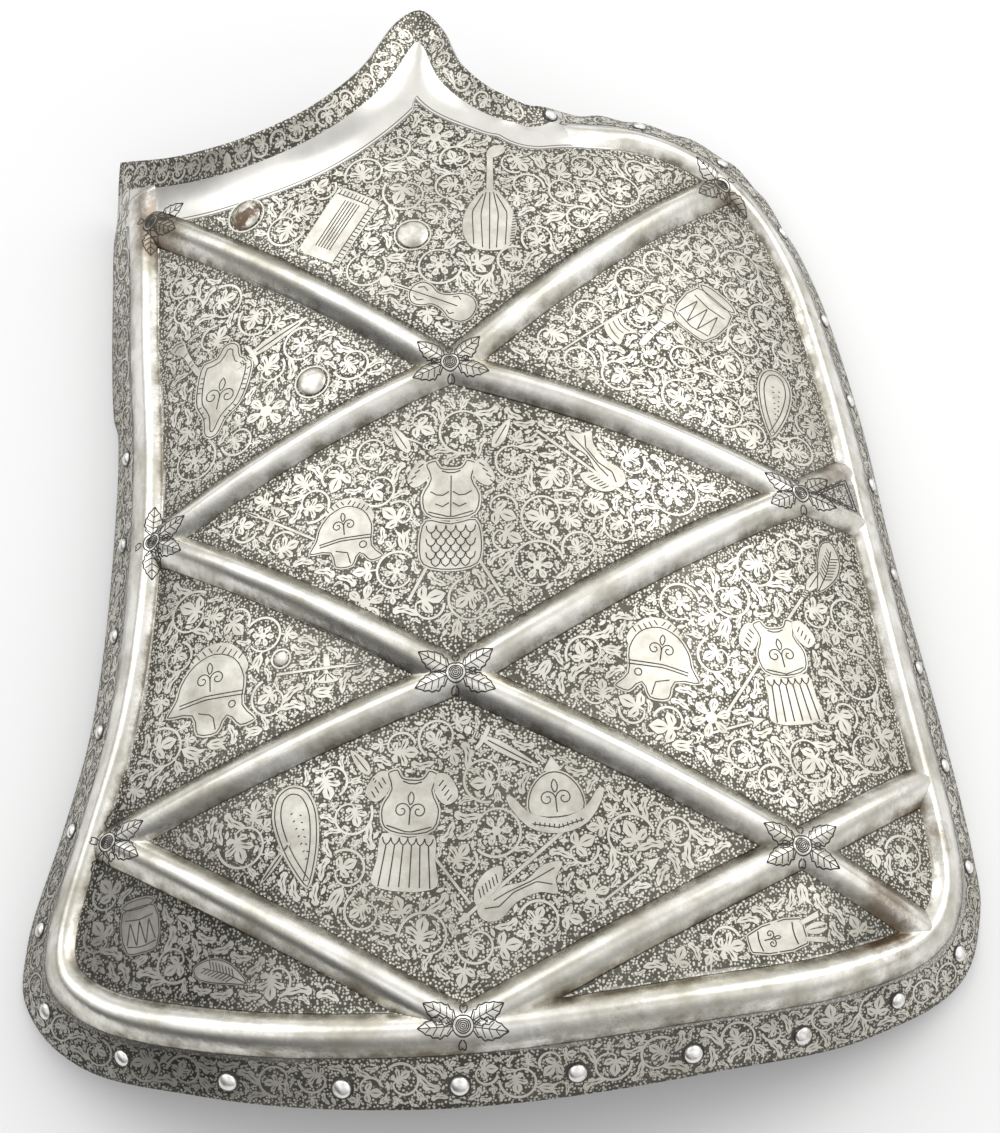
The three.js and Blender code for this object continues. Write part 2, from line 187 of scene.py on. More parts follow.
def nearest(line, x, y, atOnce=4000):  # closest point of an edge, its distance negative outside the plate
    ax, ay = line["x"][:-1], line["y"][:-1]
    dx, dy = np.diff(line["x"]), np.diff(line["y"])
    square = dx * dx + dy * dy
    found = {name: [] for name in (*line, "away", "inX", "inY")}
    for first in range(0, len(x), atOnce):
        px = x[first:first + atOnce, None] - ax
        py = y[first:first + atOnce, None] - ay
        share = np.clip((px * dx + py * dy) / square, 0, 1)
        gap = np.hypot(px - share * dx, py - share * dy)
        k = gap.argmin(1)
        row = np.arange(len(k))
        s = share[row, k]
        atEnd = ((k == 0) & (s == 0)) | ((k == len(ax) - 1) & (s == 1))
        outside = ~atEnd & (dx[k] * py[row, k] - dy[k] * px[row, k] > 0)
        found["away"].append(np.where(outside, -gap[row, k], gap[row, k]))
        found["inX"].append(dy[k] / np.sqrt(square[k]))
        found["inY"].append(-dx[k] / np.sqrt(square[k]))
        for name, values in line.items():
            found[name].append(values[k] * (1 - s) + values[k + 1] * s)
    return {name: np.concatenate(parts) for name, parts in found.items()}


def arch(x, y):
    form = plateForm
    crown = form["crownHeight"] - (y - form["crownAt"]) ** 2 / (2 * form["crownRadius"])
    middle = form["spineAt"] + form["spineSlope"] * y + form["spineBend"] * y * y
    across = np.abs(x - middle) / (form["halfWidth"] - form["taper"] * y)
    return form["footHeight"] + (crown - form["footHeight"]) * (1 - across ** form["power"])


def sheetHeight(x, y):  # outer face without its ribs, and what is near
    side, neck = nearest(sideEdge, x, y), nearest(neckEdge, x, y)
    root = arch(side["x"] + side["band"] * side["inX"], side["y"] + side["band"] * side["inY"])
    share = side["away"] / side["band"]
    z = np.where(share < 1, side["rim"] + (root - side["rim"]) * share, arch(x, y))
    z = z + neck["lift"] * np.clip(1 - neck["away"] / neck["band"], 0, None) ** 2
    return z, side, neck


def awayFromRibs(x, y):  # distance to the closest lattice rib's crest line
    closest = np.full(len(x), 1e3)
    for start, end in ribs:
        (ax, ay), (bx, by) = junctions[start], junctions[end]
        dx, dy = bx - ax, by - ay
        share = np.clip(((x - ax) * dx + (y - ay) * dy) / (dx * dx + dy * dy), 0, 1)
        closest = np.minimum(closest, np.hypot(x - ax - share * dx, y - ay - share * dy))
    return closest


def flatGrid(x, y):  # all places of a grid, in two rows
    return (side.ravel() for side in np.meshgrid(x, y))


def insideOutline(outline, x, y):
    inside = np.zeros(len(x), bool)
    for (ax, ay), (bx, by) in zip(outline, np.roll(outline, -1, axis=0)):
        crosses = (ay > y) != (by > y)
        inside ^= crosses & (x < ax + (y - ay) / ((by - ay) or 1e-9) * (bx - ax))
    return inside


def bump(away, half):  # section of a rib, with an eased foot
    return np.clip(1 - (away / half) ** 2, 0, 1) ** ribForm["fullness"]


def evenedCrest():  # crest line of the border rib, without the small kinks of the edge
    length = sideEdge["along"][-1] - ribForm["endCut"]
    at = walk(sideEdge, np.linspace(0, length, round(length / ribForm["alongStep"]) + 1))
    depth = at["band"] + at["half"]
    line = np.column_stack([at["x"] + depth * at["inX"], at["y"] + depth * at["inY"]])
    for _ in range(ribForm["evened"]):
        line[1:-1] = (line[:-2] + 2 * line[1:-1] + line[2:]) / 4
    return dict(x=line[:, 0], y=line[:, 1], half=at["half"], rib=at["rib"])


borderCrest = evenedCrest()


def ribRise(x, y, side, narrower=0.0, lower=0.0):  # rise of the embossed ribs over the sheet
    half = ribForm["half"] - narrower
    full = ribForm["height"] - lower
    crest = nearest(borderCrest, x, y)
    border = crest["rib"] * bump(crest["away"], crest["half"] + ribForm["wider"] - narrower)
    clear = np.clip((side["away"] - side["band"]) / side["half"], 0, 1)
    rise = full * np.maximum(border, clear * bump(awayFromRibs(x, y), half))
    web = insideOutline(forkWeb, x, y)
    return np.where(web, np.maximum(rise, ribForm["webHeight"]), rise)


# a map of the plate at one millimetre, for laying the etched work
mapStep = 1.0
mapX = np.arange(-222, 223, mapStep)
mapY = np.arange(-274, 275, mapStep)
gridX, gridY = np.meshgrid(mapX, mapY)
mapZ, mapSide, mapNeck = sheetHeight(gridX.ravel(), gridY.ravel())
mapZ = mapZ.reshape(gridX.shape)
slopeY, slopeX = np.gradient(mapZ, mapStep)
mapRib = awayFromRibs(gridX.ravel(), gridY.ravel())


def sample(field, x, y):
    u = np.clip((x - mapX[0]) / mapStep, 0, len(mapX) - 1.001)
    v = np.clip((y - mapY[0]) / mapStep, 0, len(mapY) - 1.001)
    i, j = u.astype(int), v.astype(int)
    s, t = u - i, v - j
    low = field[j, i] * (1 - s) + field[j, i + 1] * s
    high = field[j + 1, i] * (1 - s) + field[j + 1, i + 1] * s
    return low * (1 - t) + high * t


def facing(dx, dy):  # unit normals from slopes
    normal = np.column_stack([-dx, -dy, np.ones(len(dx))])
    return normal / np.linalg.norm(normal, axis=1)[:, None]


def layOnPanel(points):  # plan x, y and lift to the plate's face
    x, y = points[:, 0], points[:, 1]
    on = np.column_stack([x, y, sample(mapZ, x, y)])
    return on + points[:, 2:3] * facing(sample(slopeX, x, y), sample(slopeY, x, y))


print("plate mapped:", mapZ.size, "places")


# materials
def addNode(tree, kind, sockets=None, **settings):
    node = tree.nodes.new(kind)
    for name, value in settings.items():
        setattr(node, name, value)
    for name, value in (sockets or {}).items():
        if isinstance(value, bpy.types.NodeSocket):
            tree.links.new(value, node.inputs[name])
        else:
            node.inputs[name].default_value = value
    return node


def vectorMath(tree, kind, first, second):
    return addNode(tree, "ShaderNodeVectorMath", {0: first, 1: second}, operation=kind).outputs["Value"]


def ramp(tree, value, *stops):  # stops: place and colour or grey
    node = addNode(tree, "ShaderNodeValToRGB", {"Fac": value})
    while len(node.color_ramp.elements) < len(stops):
        node.color_ramp.elements.new(1)
    for element, (place, colour) in zip(node.color_ramp.elements, stops):
        element.position = place
        element.color = (*colour, 1) if isinstance(colour, tuple) else (colour, colour, colour, 1)
    return node.outputs["Color"]


def blend(tree, share, first, second, kind="MIX"):
    node = addNode(tree, "ShaderNodeMix", data_type="RGBA", blend_type=kind)
    for index, value in ((0, share), (6, first), (7, second)):
        if isinstance(value, bpy.types.NodeSocket):
            tree.links.new(value, node.inputs[index])
        else:
            node.inputs[index].default_value = (*value, 1) if isinstance(value, tuple) else value
    return node.outputs[2]


def noise(tree, scale, detail=4, roughness=0.55, vector=None):
    if vector is None:
        vector = addNode(tree, "ShaderNodeTexCoord").outputs["Object"]
    sockets = {"Vector": vector, "Scale": scale, "Detail": detail, "Roughness": roughness}
    return addNode(tree, "ShaderNodeTexNoise", sockets).outputs["Fac"]


def newSurface(name, metallic=1.0):
    material = bpy.data.materials.new(name)
    material.use_nodes = True
    shader = material.node_tree.nodes["Principled BSDF"]
    shader.inputs["Metallic"].default_value = metallic
    return material, material.node_tree, shader


def dress(tree, shader, colour, rough):
    tree.links.new(colour, shader.inputs["Base Color"])
    if isinstance(rough, bpy.types.NodeSocket):
        tree.links.new(rough, shader.inputs["Roughness"])
    else:
        shader.inputs["Roughness"].default_value = rough


def setBump(tree, shader, height, strength, distance):
    node = addNode(tree, "ShaderNodeBump", {"Height": height, "Strength": strength, "Distance": distance})
    tree.links.new(node.outputs["Normal"], shader.inputs["Normal"])


# spots where colours are darkened: most at the lower left, less at the left and the lower right
darkSpots = {(-0.150, -0.205, 0.045): (0.035, 0.095, 0.42), (-0.185, -0.02, 0.05): (0.01, 0.05, 0.6),
               (0.155, -0.20, 0.04): (0.008, 0.03, 0.6)}  # place: full within, gone beyond, what is left


def darkened(tree, colour):  # spots that darken a colour, deepest at the lower left, less at the left and the lower right
    where = addNode(tree, "ShaderNodeTexCoord").outputs["Object"]
    for place, (near, far, least) in darkSpots.items():
        gap = vectorMath(tree, "DISTANCE", where, place)
        colour = blend(tree, 1.0, colour, ramp(tree, gap, (near, least), (far, 1.0)), "MULTIPLY")
    return colour


groundLook = dict(dark=(0.080, 0.075, 0.062), worn=(0.15, 0.142, 0.120), dot=(0.60, 0.58, 0.515),
                  plain=(0.74, 0.725, 0.68), streak=(0.50, 0.49, 0.46), pitch=1.3,
                  span=40, bandEdge=0.29, panelEdge=0.596, softEdge=0.002,  # span in mm, edges as its shares
                  lineEdges=((0.538, 0.556), (0.578, 0.595)), lineSoft=0.003, lineDepth=0.9)


def etchedGround():  # dark etched ground full of bright dots, plain where the collar hollows
    material, tree, shader = newSurface("etchedGround")
    where = addNode(tree, "ShaderNodeTexCoord").outputs["Object"]
    cells = addNode(tree, "ShaderNodeTexVoronoi", {"Vector": where, "Scale": 1 / (groundLook["pitch"] * mm),
                                                   "Randomness": 0.8}, voronoi_dimensions="3D")
    dots = ramp(tree, cells.outputs["Distance"], (0.30, 1.0), (0.50, 0.0))
    wear = ramp(tree, noise(tree, 22, 5), (0.38, 0.0), (0.72, 1.0))
    dark = blend(tree, wear, groundLook["dark"], groundLook["worn"])
    dotted = blend(tree, dots, dark, groundLook["dot"])
    fromRim = addNode(tree, "ShaderNodeAttribute", attribute_name="fromRim").outputs["Fac"]
    fromFoot = addNode(tree, "ShaderNodeAttribute", attribute_name="fromFoot").outputs["Fac"]
    soft = groundLook["softEdge"]
    bandEdge, panelEdge = groundLook["bandEdge"], groundLook["panelEdge"]
    beyondBand = ramp(tree, fromRim, (bandEdge - soft, 0.0), (bandEdge + soft, 1.0))
    beforePanel = ramp(tree, fromFoot, (panelEdge - soft, 1.0), (panelEdge + soft, 0.0))
    plain = blend(tree, 1.0, beyondBand, beforePanel, "MULTIPLY")
    soft, depth = groundLook["lineSoft"], groundLook["lineDepth"]
    stops = []
    for start, end in groundLook["lineEdges"]:
        stops += [(start, 0.0), (start + soft, depth), (end - soft, depth), (end, 0.0)]
    streaks = blend(tree, noise(tree, 60, 6), groundLook["streak"], groundLook["plain"])
    smooth = blend(tree, ramp(tree, fromFoot, *stops), streaks, groundLook["dark"])
    colour = darkened(tree, blend(tree, plain, dotted, smooth))
    dress(tree, shader, colour, ramp(tree, plain, (0, 0.47), (1, 0.27)))
    setBump(tree, shader, blend(tree, plain, dots, (0.5, 0.5, 0.5)), 0.5, 0.00012)
    return material


ribLook = dict(bright=(0.82, 0.805, 0.75), dull=(0.46, 0.44, 0.37), foot=(0.15, 0.13, 0.095),
               brown=(0.20, 0.145, 0.095))


def ribSteel():  # polished ribs, dull and brown towards the foot
    material, tree, shader = newSurface("ribSteel")
    foot = addNode(tree, "ShaderNodeAttribute", attribute_name="foot").outputs["Fac"]
    mottle = noise(tree, 38, 7, 0.62)
    skin = ramp(tree, mottle, (0.34, ribLook["dull"]), (0.60, ribLook["bright"]))
    # the rib's colour darker in patches towards its foot, where it meets the sheet
    footDark = addNode(tree, "ShaderNodeMath", {0: foot, 1: noise(tree, 70, 6, 0.7)}, operation="MULTIPLY")
    footDarkShare = ramp(tree, footDark.outputs[0], (0.27, 0.0), (0.50, 0.9))
    skin = blend(tree, footDarkShare, skin, ribLook["foot"])
    stain = addNode(tree, "ShaderNodeAttribute", attribute_name="stain").outputs["Fac"]
    spread = addNode(tree, "ShaderNodeMath", {0: noise(tree, 40, 8, 0.72), 1: stain}, operation="ADD")
    patches = ramp(tree, spread.outputs[0], (0.66, 0.0), (0.86, 0.8))
    skin = blend(tree, patches, skin, ribLook["brown"])
    dress(tree, shader, skin, ramp(tree, mottle, (0.3, 0.36), (0.6, 0.20)))
    dents = blend(tree, 0.25, noise(tree, 55, 3), noise(tree, 420, 3))
    setBump(tree, shader, dents, 0.35, 0.0007)
    return material


# mottle: noise scale, detail and roughness, colours: stops on it, patches: noise, start, end, share and tint
# roughBy: what the roughness follows if not the mottle, bump: noise scale and detail, strength and depth
facedSteel = dict(spotted=True, roughBy=(240, 4), rough=((0.35, 0.48), (0.7, 0.36)),
                  bump=(500, 3, 0.25, 0.0001))
studLook = dict(mottle=(120, 6, 0.65), colours=((0.34, (0.30, 0.275, 0.225)), (0.62, (0.70, 0.68, 0.62))),
                roughBy="patches", rough=((0.2, 0.32), (0.8, 0.66)), bump=(300, 5, 0.5, 0.0005))
studRust = (0.16, 0.105, 0.065)
steelLooks = {
    "innerSteel": dict(  # hammered, darkened inside of the plate
        mottle=(45, 6),
        colours=((0.3, (0.11, 0.095, 0.08)), (0.52, (0.24, 0.225, 0.20)), (0.75, (0.34, 0.32, 0.29))),
        patches=((17, 8, 0.7), 0.58, 0.72, 1.0, (0.20, 0.115, 0.06)),
        rough=((0.3, 0.62), (0.7, 0.42)), bump=(80, 3, 0.5, 0.0006)),
    "edgeSteel": dict(  # bare cut edge of the sheet
        mottle=(120, 4), colours=((0.35, (0.26, 0.24, 0.21)), (0.65, (0.58, 0.56, 0.53))), rough=0.4),
    "foliageSteel": dict(  # the plate's old face, left bright between the etched ground
        mottle=(30, 7, 0.6), colours=((0.32, (0.47, 0.45, 0.39)), (0.58, (0.66, 0.64, 0.575))),
        **facedSteel),
    "trophySteel": dict(  # the same face on broad shapes, rubbed a little duller
        mottle=(55, 8, 0.68), colours=((0.34, (0.42, 0.40, 0.345)), (0.62, (0.66, 0.64, 0.575))),
        **facedSteel),
    "engravedDark": dict(  # blackened engraved line
        mottle=(90, 4), colours=((0.35, (0.035, 0.032, 0.028)), (0.7, (0.10, 0.094, 0.084))), rough=0.6,
        metallic=0.6),
    "rivetSteel": dict(
        mottle=(160, 6, 0.65), colours=((0.30, (0.40, 0.385, 0.35)), (0.52, (0.82, 0.81, 0.79))),
        rough=((0.3, 0.42), (0.6, 0.20)), bump=(260, 4, 0.3, 0.0004)),
    "studSteel": dict(studLook, patches=((150, 7, 0.75), 0.62, 0.70, 0.9, studRust)),
    "rustyStud": dict(studLook, patches=((150, 7, 0.75), 0.46, 0.54, 0.9, studRust)),
}


def mottledSteel(name):
    look = steelLooks[name]
    material, tree, shader = newSurface(name, look.get("metallic", 1.0))
    follows = {"mottle": noise(tree, *look["mottle"])}
    colour = ramp(tree, follows["mottle"], *look["colours"])
    if "patches" in look:
        grain, start, end, share, tint = look["patches"]
        follows["patches"] = ramp(tree, noise(tree, *grain), (start, 0.0), (end, share))
        colour = blend(tree, follows["patches"], colour, tint)
    if "spotted" in look:
        colour = darkened(tree, colour)
    rough, by = look["rough"], look.get("roughBy", "mottle")
    if isinstance(rough, tuple):
        rough = ramp(tree, follows[by] if by in follows else noise(tree, *by), *rough)
    dress(tree, shader, colour, rough)
    if "bump" in look:
        scale, detail, strength, depth = look["bump"]
        setBump(tree, shader, noise(tree, scale, detail), strength, depth)
    return material


ground, ribSkinSteel = etchedGround(), ribSteel()
steels = {name: mottledSteel(name) for name in steelLooks}
plateSteels = [ground, steels["innerSteel"], steels["edgeSteel"]]
leafSteels = [steels["foliageSteel"], steels["engravedDark"]]
trophySteels = [steels["trophySteel"], steels["engravedDark"]]
rosetteSteels = [ribSkinSteel, steels["engravedDark"]]
print("materials made:", len(bpy.data.materials))


def newPiece(name, mesh, materials, slot, *replaced):
    mesh.shade_smooth()
    for material in materials:
        mesh.materials.append(material)
    piece = bpy.data.objects.new(name, mesh)
    scene.collection.objects.link(piece)
    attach(piece, "root")
    if replaced:
        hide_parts(*replaced)
    return piece


def gridMesh(name, countU, countV, place):  # a bmesh grid whose corners are moved by place(u, v)
    bm = bmesh.new()
    bmesh.ops.create_grid(bm, x_segments=countU, y_segments=countV, size=1)
    mesh = bpy.data.meshes.new(name)
    bm.to_mesh(mesh)
    bm.free()
    flat = np.empty(len(mesh.vertices) * 3)
    mesh.vertices.foreach_get("co", flat)
    u, v = (flat.reshape(-1, 3)[:, :2].T + 1) / 2
    points, attributes = place(u, v)
    mesh.vertices.foreach_set("co", (points * mm).ravel())
    for attributeName, values in attributes.items():
        mesh.attributes.new(attributeName, "FLOAT", "POINT").data.foreach_set("value", values)
    return mesh


def thicken(piece, thickness, **settings):
    wall = piece.modifiers.new("wall", "SOLIDIFY")
    wall.thickness = thickness * mm
    wall.offset = -1
    for name, value in settings.items():
        setattr(wall, name, value)


# the plate: a grid drawn to the outline's four sides, then raised
plateCorners = ("shoulder low", "right turn", "left turn")  # after the neck's left corner, clockwise


def outlineSide(start, end, share):  # points of the outline between two lengths, neck edge first
    neckLength = neckEdge["along"][-1]
    along = start + (end - start) * share
    neck, side = walk(neckEdge, along), walk(sideEdge, along - neckLength)
    onNeck = along < neckLength
    return np.column_stack([np.where(onNeck, neck[k], side[k]) for k in ("x", "y")])


def plateGrid(u, v):
    neckLength = neckEdge["along"][-1]
    turns = [neckLength + alongAt(sideEdge, sideRows, row) for row in plateCorners]
    end = neckLength + sideEdge["along"][-1]
    top, right = outlineSide(0, turns[0], u), outlineSide(turns[0], turns[1], 1 - v)
    low, left = outlineSide(turns[1], turns[2], 1 - u), outlineSide(turns[2], end, v)
    corner = [outlineSide(0, end, np.array([along / end]))[0] for along in (0, *turns)]
    u, v = u[:, None], v[:, None]
    flat = (1 - v) * low + v * top + (1 - u) * left + u * right
    flat -= (1 - v) * ((1 - u) * corner[3] + u * corner[2]) + v * ((1 - u) * corner[0] + u * corner[1])
    x, y = flat.T
    z, side, neck = sheetHeight(x, y)
    z = z + ribRise(x, y, side, ribForm["narrower"], ribForm["lower"])
    return np.column_stack([x, y, z]), collarShares(side, neck)


collarEnd = dict(spread=3, fade=30)  # the plain collar runs out along the border's rib


def collarShares(side, neck):  # distances from the neck's rim and the collar's foot, for the etched ground
    span = groundLook["span"]
    inside = side["away"] - side["band"]
    onRib = np.minimum(inside, 2 * side["half"] - inside) + collarEnd["spread"]
    runOut = np.minimum(onRib, collarEnd["fade"] * (1 - side["rib"]))
    fromFoot = 0.5 + (neck["away"] - neck["band"]) / span
    fromFoot = np.minimum(fromFoot, groundLook["panelEdge"] - runOut / span)
    return {"fromRim": neck["away"] / span, "fromFoot": fromFoot}


def makePlate():
    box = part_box("plate")
    step = plateForm["gridStep"] * mm
    countU, countV = round((box[1][0] - box[0][0]) / step), round((box[1][1] - box[0][1]) / step)
    mesh = gridMesh("plateSheet", countU, countV, plateGrid)
    piece = newPiece("plateSheet", mesh, plateSteels, "plate_steel", "plate")
    thicken(piece, plateForm["thickness"], material_offset=1, material_offset_rim=2)
    return piece


plateSheet = makePlate()
print("plate made:", len(plateSheet.data.polygons), "faces")


stains = (  # brown patina: x, y, reach, depth
    (-178, 166, 26, 0.40), (-25, 57, 20, 0.10), (160, 14, 26, 0.28), (112, 188, 24, 0.22),
    (150, 120, 40, 0.20), (168, -190, 22, 0.34), (190, -150, 26, 0.24), (-165, -5, 22, 0.18),
    (-60, -60, 30, 0.12), (60, -250, 40, 0.08),
)


def stainAt(x, y):
    return sum(depth * np.exp(-((x - a) ** 2 + (y - b) ** 2) / reach ** 2) for a, b, reach, depth in stains)


def ribSkin(x, y, z, side, share, away, dive=0):  # a rib's skin, away: 0 at its crest and 1 at its foot
    sink = ribForm["sink"] * smoothStep(ribForm["footFrom"], 1, away)
    rise = share * ribForm["height"] * bump(away, 1) - sink - dive
    wall = ribRise(x, y, side, ribForm["narrower"], ribForm["lower"]) - ribForm["buried"]
    return np.column_stack([x, y, z + np.maximum(rise, wall)])  # never below the wall of the sheet


def latticeRib(start, end):  # one straight rib with rounded ends, laid over the sheet
    a, b = np.array(junctions[start], float), np.array(junctions[end], float)
    length = np.linalg.norm(b - a)
    way = (b - a) / length
    left = np.array([-way[1], way[0]])
    half = ribForm["half"]

    def place(u, v):
        along = -half + u * (length + 2 * half)
        across = (2 * v - 1) * half
        x, y = (a + along[:, None] * way + across[:, None] * left).T
        past = np.maximum(0, np.maximum(-along, along - length))
        away = np.minimum(np.hypot(past, across), half) / half
        z, side, _ = sheetHeight(x, y)
        clear = smoothStep(0.5, 1, (side["away"] - side["band"]) / side["half"])
        return ribSkin(x, y, z, side, clear, away), {"foot": away, "stain": stainAt(x, y)}

    stations = round((length + 2 * half) / ribForm["alongStep"])
    return gridMesh(f"rib_{start}_{end}", stations, ribForm["rows"], place)


def borderRib():
    crest = np.column_stack([borderCrest["x"], borderCrest["y"]])
    stations = len(crest) - 1
    way = np.gradient(crest, axis=0)
    way /= np.linalg.norm(way, axis=1)[:, None]

    def place(u, v):
        k = np.rint(u * stations).astype(int)
        reach = borderCrest["half"][k] + ribForm["wider"]
        across = (2 * v - 1) * reach
        x, y = (crest[k] + across[:, None] * np.column_stack([-way[k, 1], way[k, 0]])).T
        away = np.abs(across) / reach
        share = borderCrest["rib"][k]
        dive = ribForm["dive"] * (1 - smoothStep(0, ribForm["diveFrom"], share))  # into the sheet at its ends
        z, side, _ = sheetHeight(x, y)
        return ribSkin(x, y, z, side, share, away, dive), {"foot": away * share, "stain": stainAt(x, y)}

    return gridMesh("ribBorder", stations, ribForm["rows"] + 2, place)


for start, end in ribs:
    skin = newPiece(f"rib_{start}_{end}", latticeRib(start, end), [ribSkinSteel], "plate_steel")
    thicken(skin, ribForm["wall"])
thicken(newPiece("ribBorder", borderRib(), [ribSkinSteel], "plate_steel"), ribForm["wall"])
print("ribs made:", len(ribs) + 1)


# rivets and studs
rivetColumns = ("count", "first", "gap", "seat", "head")
rivetRuns = {
    "shoulder": (4, 8, 49.5, 0.45, 3.2),
    "right": (7, 56, 48.5, 0.55, 3.2),
    "right_corner": (2, 47, 46, 0.5, 3.6),
    "hem": (6, 49, 49.5, 0.4, 4.2),
    "left_corner": (2, 50, 51, 0.55, 3.8),
    "left": (6, 46, 47, 0.55, 3.4),
}
rivetShare = dict(rise=0.72, shank=0.4, tail=0.75, tailRise=0.3)
studs = {  # x, y, head, rise
    "stud_collar": (-128, 157, 8.2, 2.6),
    "stud_neck": (-44, 132, 7.8, 2.2),
    "stud_left": (-90, 56, 7.2, 2.4),
    "plug_small": (-99, -79.5, 3.4, 0.9),
}
studShare = dict(shank=0.34, tail=0.6, tailRise=0.2)
headForm = dict(lip=0.2, bed=-0.25, foot=0.97, gap=0.3, worn=0.16, rings=7, sides=22, tip=0.06, seatReach=0.6)


def rivetStations():  # name, length along the edge and row of each rivet
    along = 0
    for runName, row in rivetRuns.items():
        run = dict(zip(rivetColumns, row))
        for i in range(run["count"]):
            along += run["gap"] if i else run["first"]
            yield f"rivet_{runName}_{i + 1}", along, run


def fastenerMesh(name, place, normal, head, rise, share, turn):  # spun head, shank and peened tail in one
    under = -plateForm["thickness"] - headForm["gap"]
    low = under - share["tailRise"] * head
    lip, bed = headForm["lip"] * rise, headForm["bed"]
    bends = np.linspace(headForm["tip"], math.pi / 2, headForm["rings"])
    dome = [(math.sin(a) * head, lip + (rise - lip) * math.cos(a)) for a in bends]
    shank, tail = share["shank"] * head, share["tail"] * head
    foot = [(headForm["foot"] * head, bed), (shank, bed), (shank, under), (tail, under), (tail, low)]
    bm = bmesh.new()
    corners = [bm.verts.new((r, 0, z)) for r, z in [(0, rise), *dome, *foot, (0, low)]]
    edges = [bm.edges.new(pair) for pair in zip(corners, corners[1:])]
    bmesh.ops.spin(bm, geom=corners + edges, axis=(0, 0, 1), cent=(0, 0, 0), angle=2 * math.pi,
                   steps=headForm["sides"], use_merge=True)
    bmesh.ops.remove_doubles(bm, verts=bm.verts, dist=1e-4)
    bmesh.ops.recalc_face_normals(bm, faces=bm.faces)
    for corner in bm.verts:  # worn a little flat to one side
        if corner.co.z > 0:
            lean = max(0, math.cos(math.atan2(corner.co.y, corner.co.x) - turn))
            corner.co.z *= 1 - headForm["worn"] * lean * math.hypot(corner.co.x, corner.co.y) / head
    upright = Vector((0, 0, 1)).rotation_difference(Vector(normal)).to_matrix().to_4x4()
    seat = Matrix.Translation(Vector(place)) @ upright
    bmesh.ops.transform(bm, matrix=Matrix.Scale(mm, 4) @ seat, verts=bm.verts)
    mesh = bpy.data.meshes.new(name)
    bm.to_mesh(mesh)
    bm.free()
    return mesh


def seatOn(x, y, reach):
    x = np.array([x, x - reach, x + reach, x, x], float)
    y = np.array([y, y, y, y - reach, y + reach], float)
    z = sheetHeight(x, y)[0]
    slopes = (z[2:5:2] - z[1:4:2]) / (2 * reach)
    return (x[0], y[0], z[0]), facing(slopes[:1], slopes[1:])[0]


def makeFasteners():
    dice = np.random.default_rng(11)
    placed = []
    for name, along, run in rivetStations():
        at = walk(sideEdge, along)
        depth = run["seat"] * at["band"]
        x, y = float(at["x"] + depth * at["inX"]), float(at["y"] + depth * at["inY"])
        placed.append((name, x, y, run["head"], rivetShare["rise"] * run["head"]))
    for name, row in studs.items():
        placed.append((name, *row))
    for name, x, y, head, rise in placed:
        isRivet = name.startswith("rivet")
        place, normal = seatOn(x, y, headForm["seatReach"] * head)
        share = rivetShare if isRivet else studShare
        turn = dice.uniform(0, 2 * math.pi)
        mesh = fastenerMesh(name + "_head", place, normal, head, rise, share, turn)
        steel = "rivetSteel" if isRivet else "rustyStud" if name == "stud_collar" else "studSteel"
        newPiece(name + "_head", mesh, [steels[steel]], "rivet_steel" if isRivet else "stud_steel", name)
    return placed


fasteners = makeFasteners()
print("rivets and studs made:", len(fasteners))


# etched ornament: bright leaves, stems and trophies left standing in the dark ground
# sizes in mm, but those of leaves and hearts as shares of their size
etchForm = dict(lift=0.16, foot=-0.3, flare=0.075, stemWide=1.25, stemThin=0.8, stemFlare=0.4,
                lineLift=0.04, lineWide=0.5, cell=0.5, cut=7, edgeFlare=0.5, heartFlare=0.3,
                heartRim=0.28, heartRing=0.26, ringGap=0.9, ringWide=0.8, stalk=0.22)
leafHalves = {  # half outlines from base to tip, the other half mirrored
    "trefoil": ((0, 0.04), (0.18, 0.05), (0.08, 0.22), (0.16, 0.42), (0.40, 0.52), (0.46, 0.34), (0.36, 0.07),
                (0.50, 0.20), (0.70, 0.25), (0.86, 0.14), (1, 0)),
    "vine": ((0, 0.04), (0.14, 0.05), (0.02, 0.20), (0.10, 0.36), (0.26, 0.36), (0.24, 0.10), (0.36, 0.22),
             (0.40, 0.46), (0.58, 0.50), (0.62, 0.32), (0.48, 0.08), (0.62, 0.20), (0.82, 0.20), (1, 0)),
    "tulip": ((0, 0.05), (0.20, 0.22), (0.46, 0.26), (0.66, 0.22), (0.98, 0.36), (0.84, 0.12), (0.74, 0.05),
              (1, 0)),
    "petal": ((0, 0.08), (0.30, 0.25), (0.62, 0.33), (0.86, 0.22), (1, 0)),
    "bud": ((0, 0.05), (0.30, 0.20), (0.62, 0.22), (1, 0)),
}
commaOutline = ((0, -0.04), (0.25, -0.06), (0.50, 0.02), (0.70, 0), (0.85, -0.10), (0.98, -0.04), (1, 0.12),
                (0.86, 0.26), (0.70, 0.22), (0.62, 0.36), (0.42, 0.34), (0.36, 0.22), (0.18, 0.22), (0, 0.05))
leafStrokes = {  # dark cuts: from, to, width
    "trefoil": ((0.42, 0, 0.86, 0, 0.05), (0.20, 0.16, 0.30, 0.42, 0.05), (0.20, -0.16, 0.30, -0.42, 0.05)),
    "vine": ((0.54, 0, 0.88, 0, 0.05), (0.36, 0.08, 0.52, 0.42, 0.05), (0.36, -0.08, 0.52, -0.42, 0.05),
             (0.12, 0.12, 0.18, 0.30, 0.04)),
    "tulip": ((0.20, 0.06, 0.66, 0.12, 0.05), (0.20, -0.06, 0.66, -0.12, 0.05)),
    "petal": ((0.30, 0.06, 0.82, 0.06, 0.06), (0.42, -0.12, 0.72, -0.10, 0.05)),
    "bud": (),
    "comma": ((0.16, 0.06, 0.60, 0.14, 0.05), (0.50, 0.20, 0.84, 0.10, 0.05)),
}


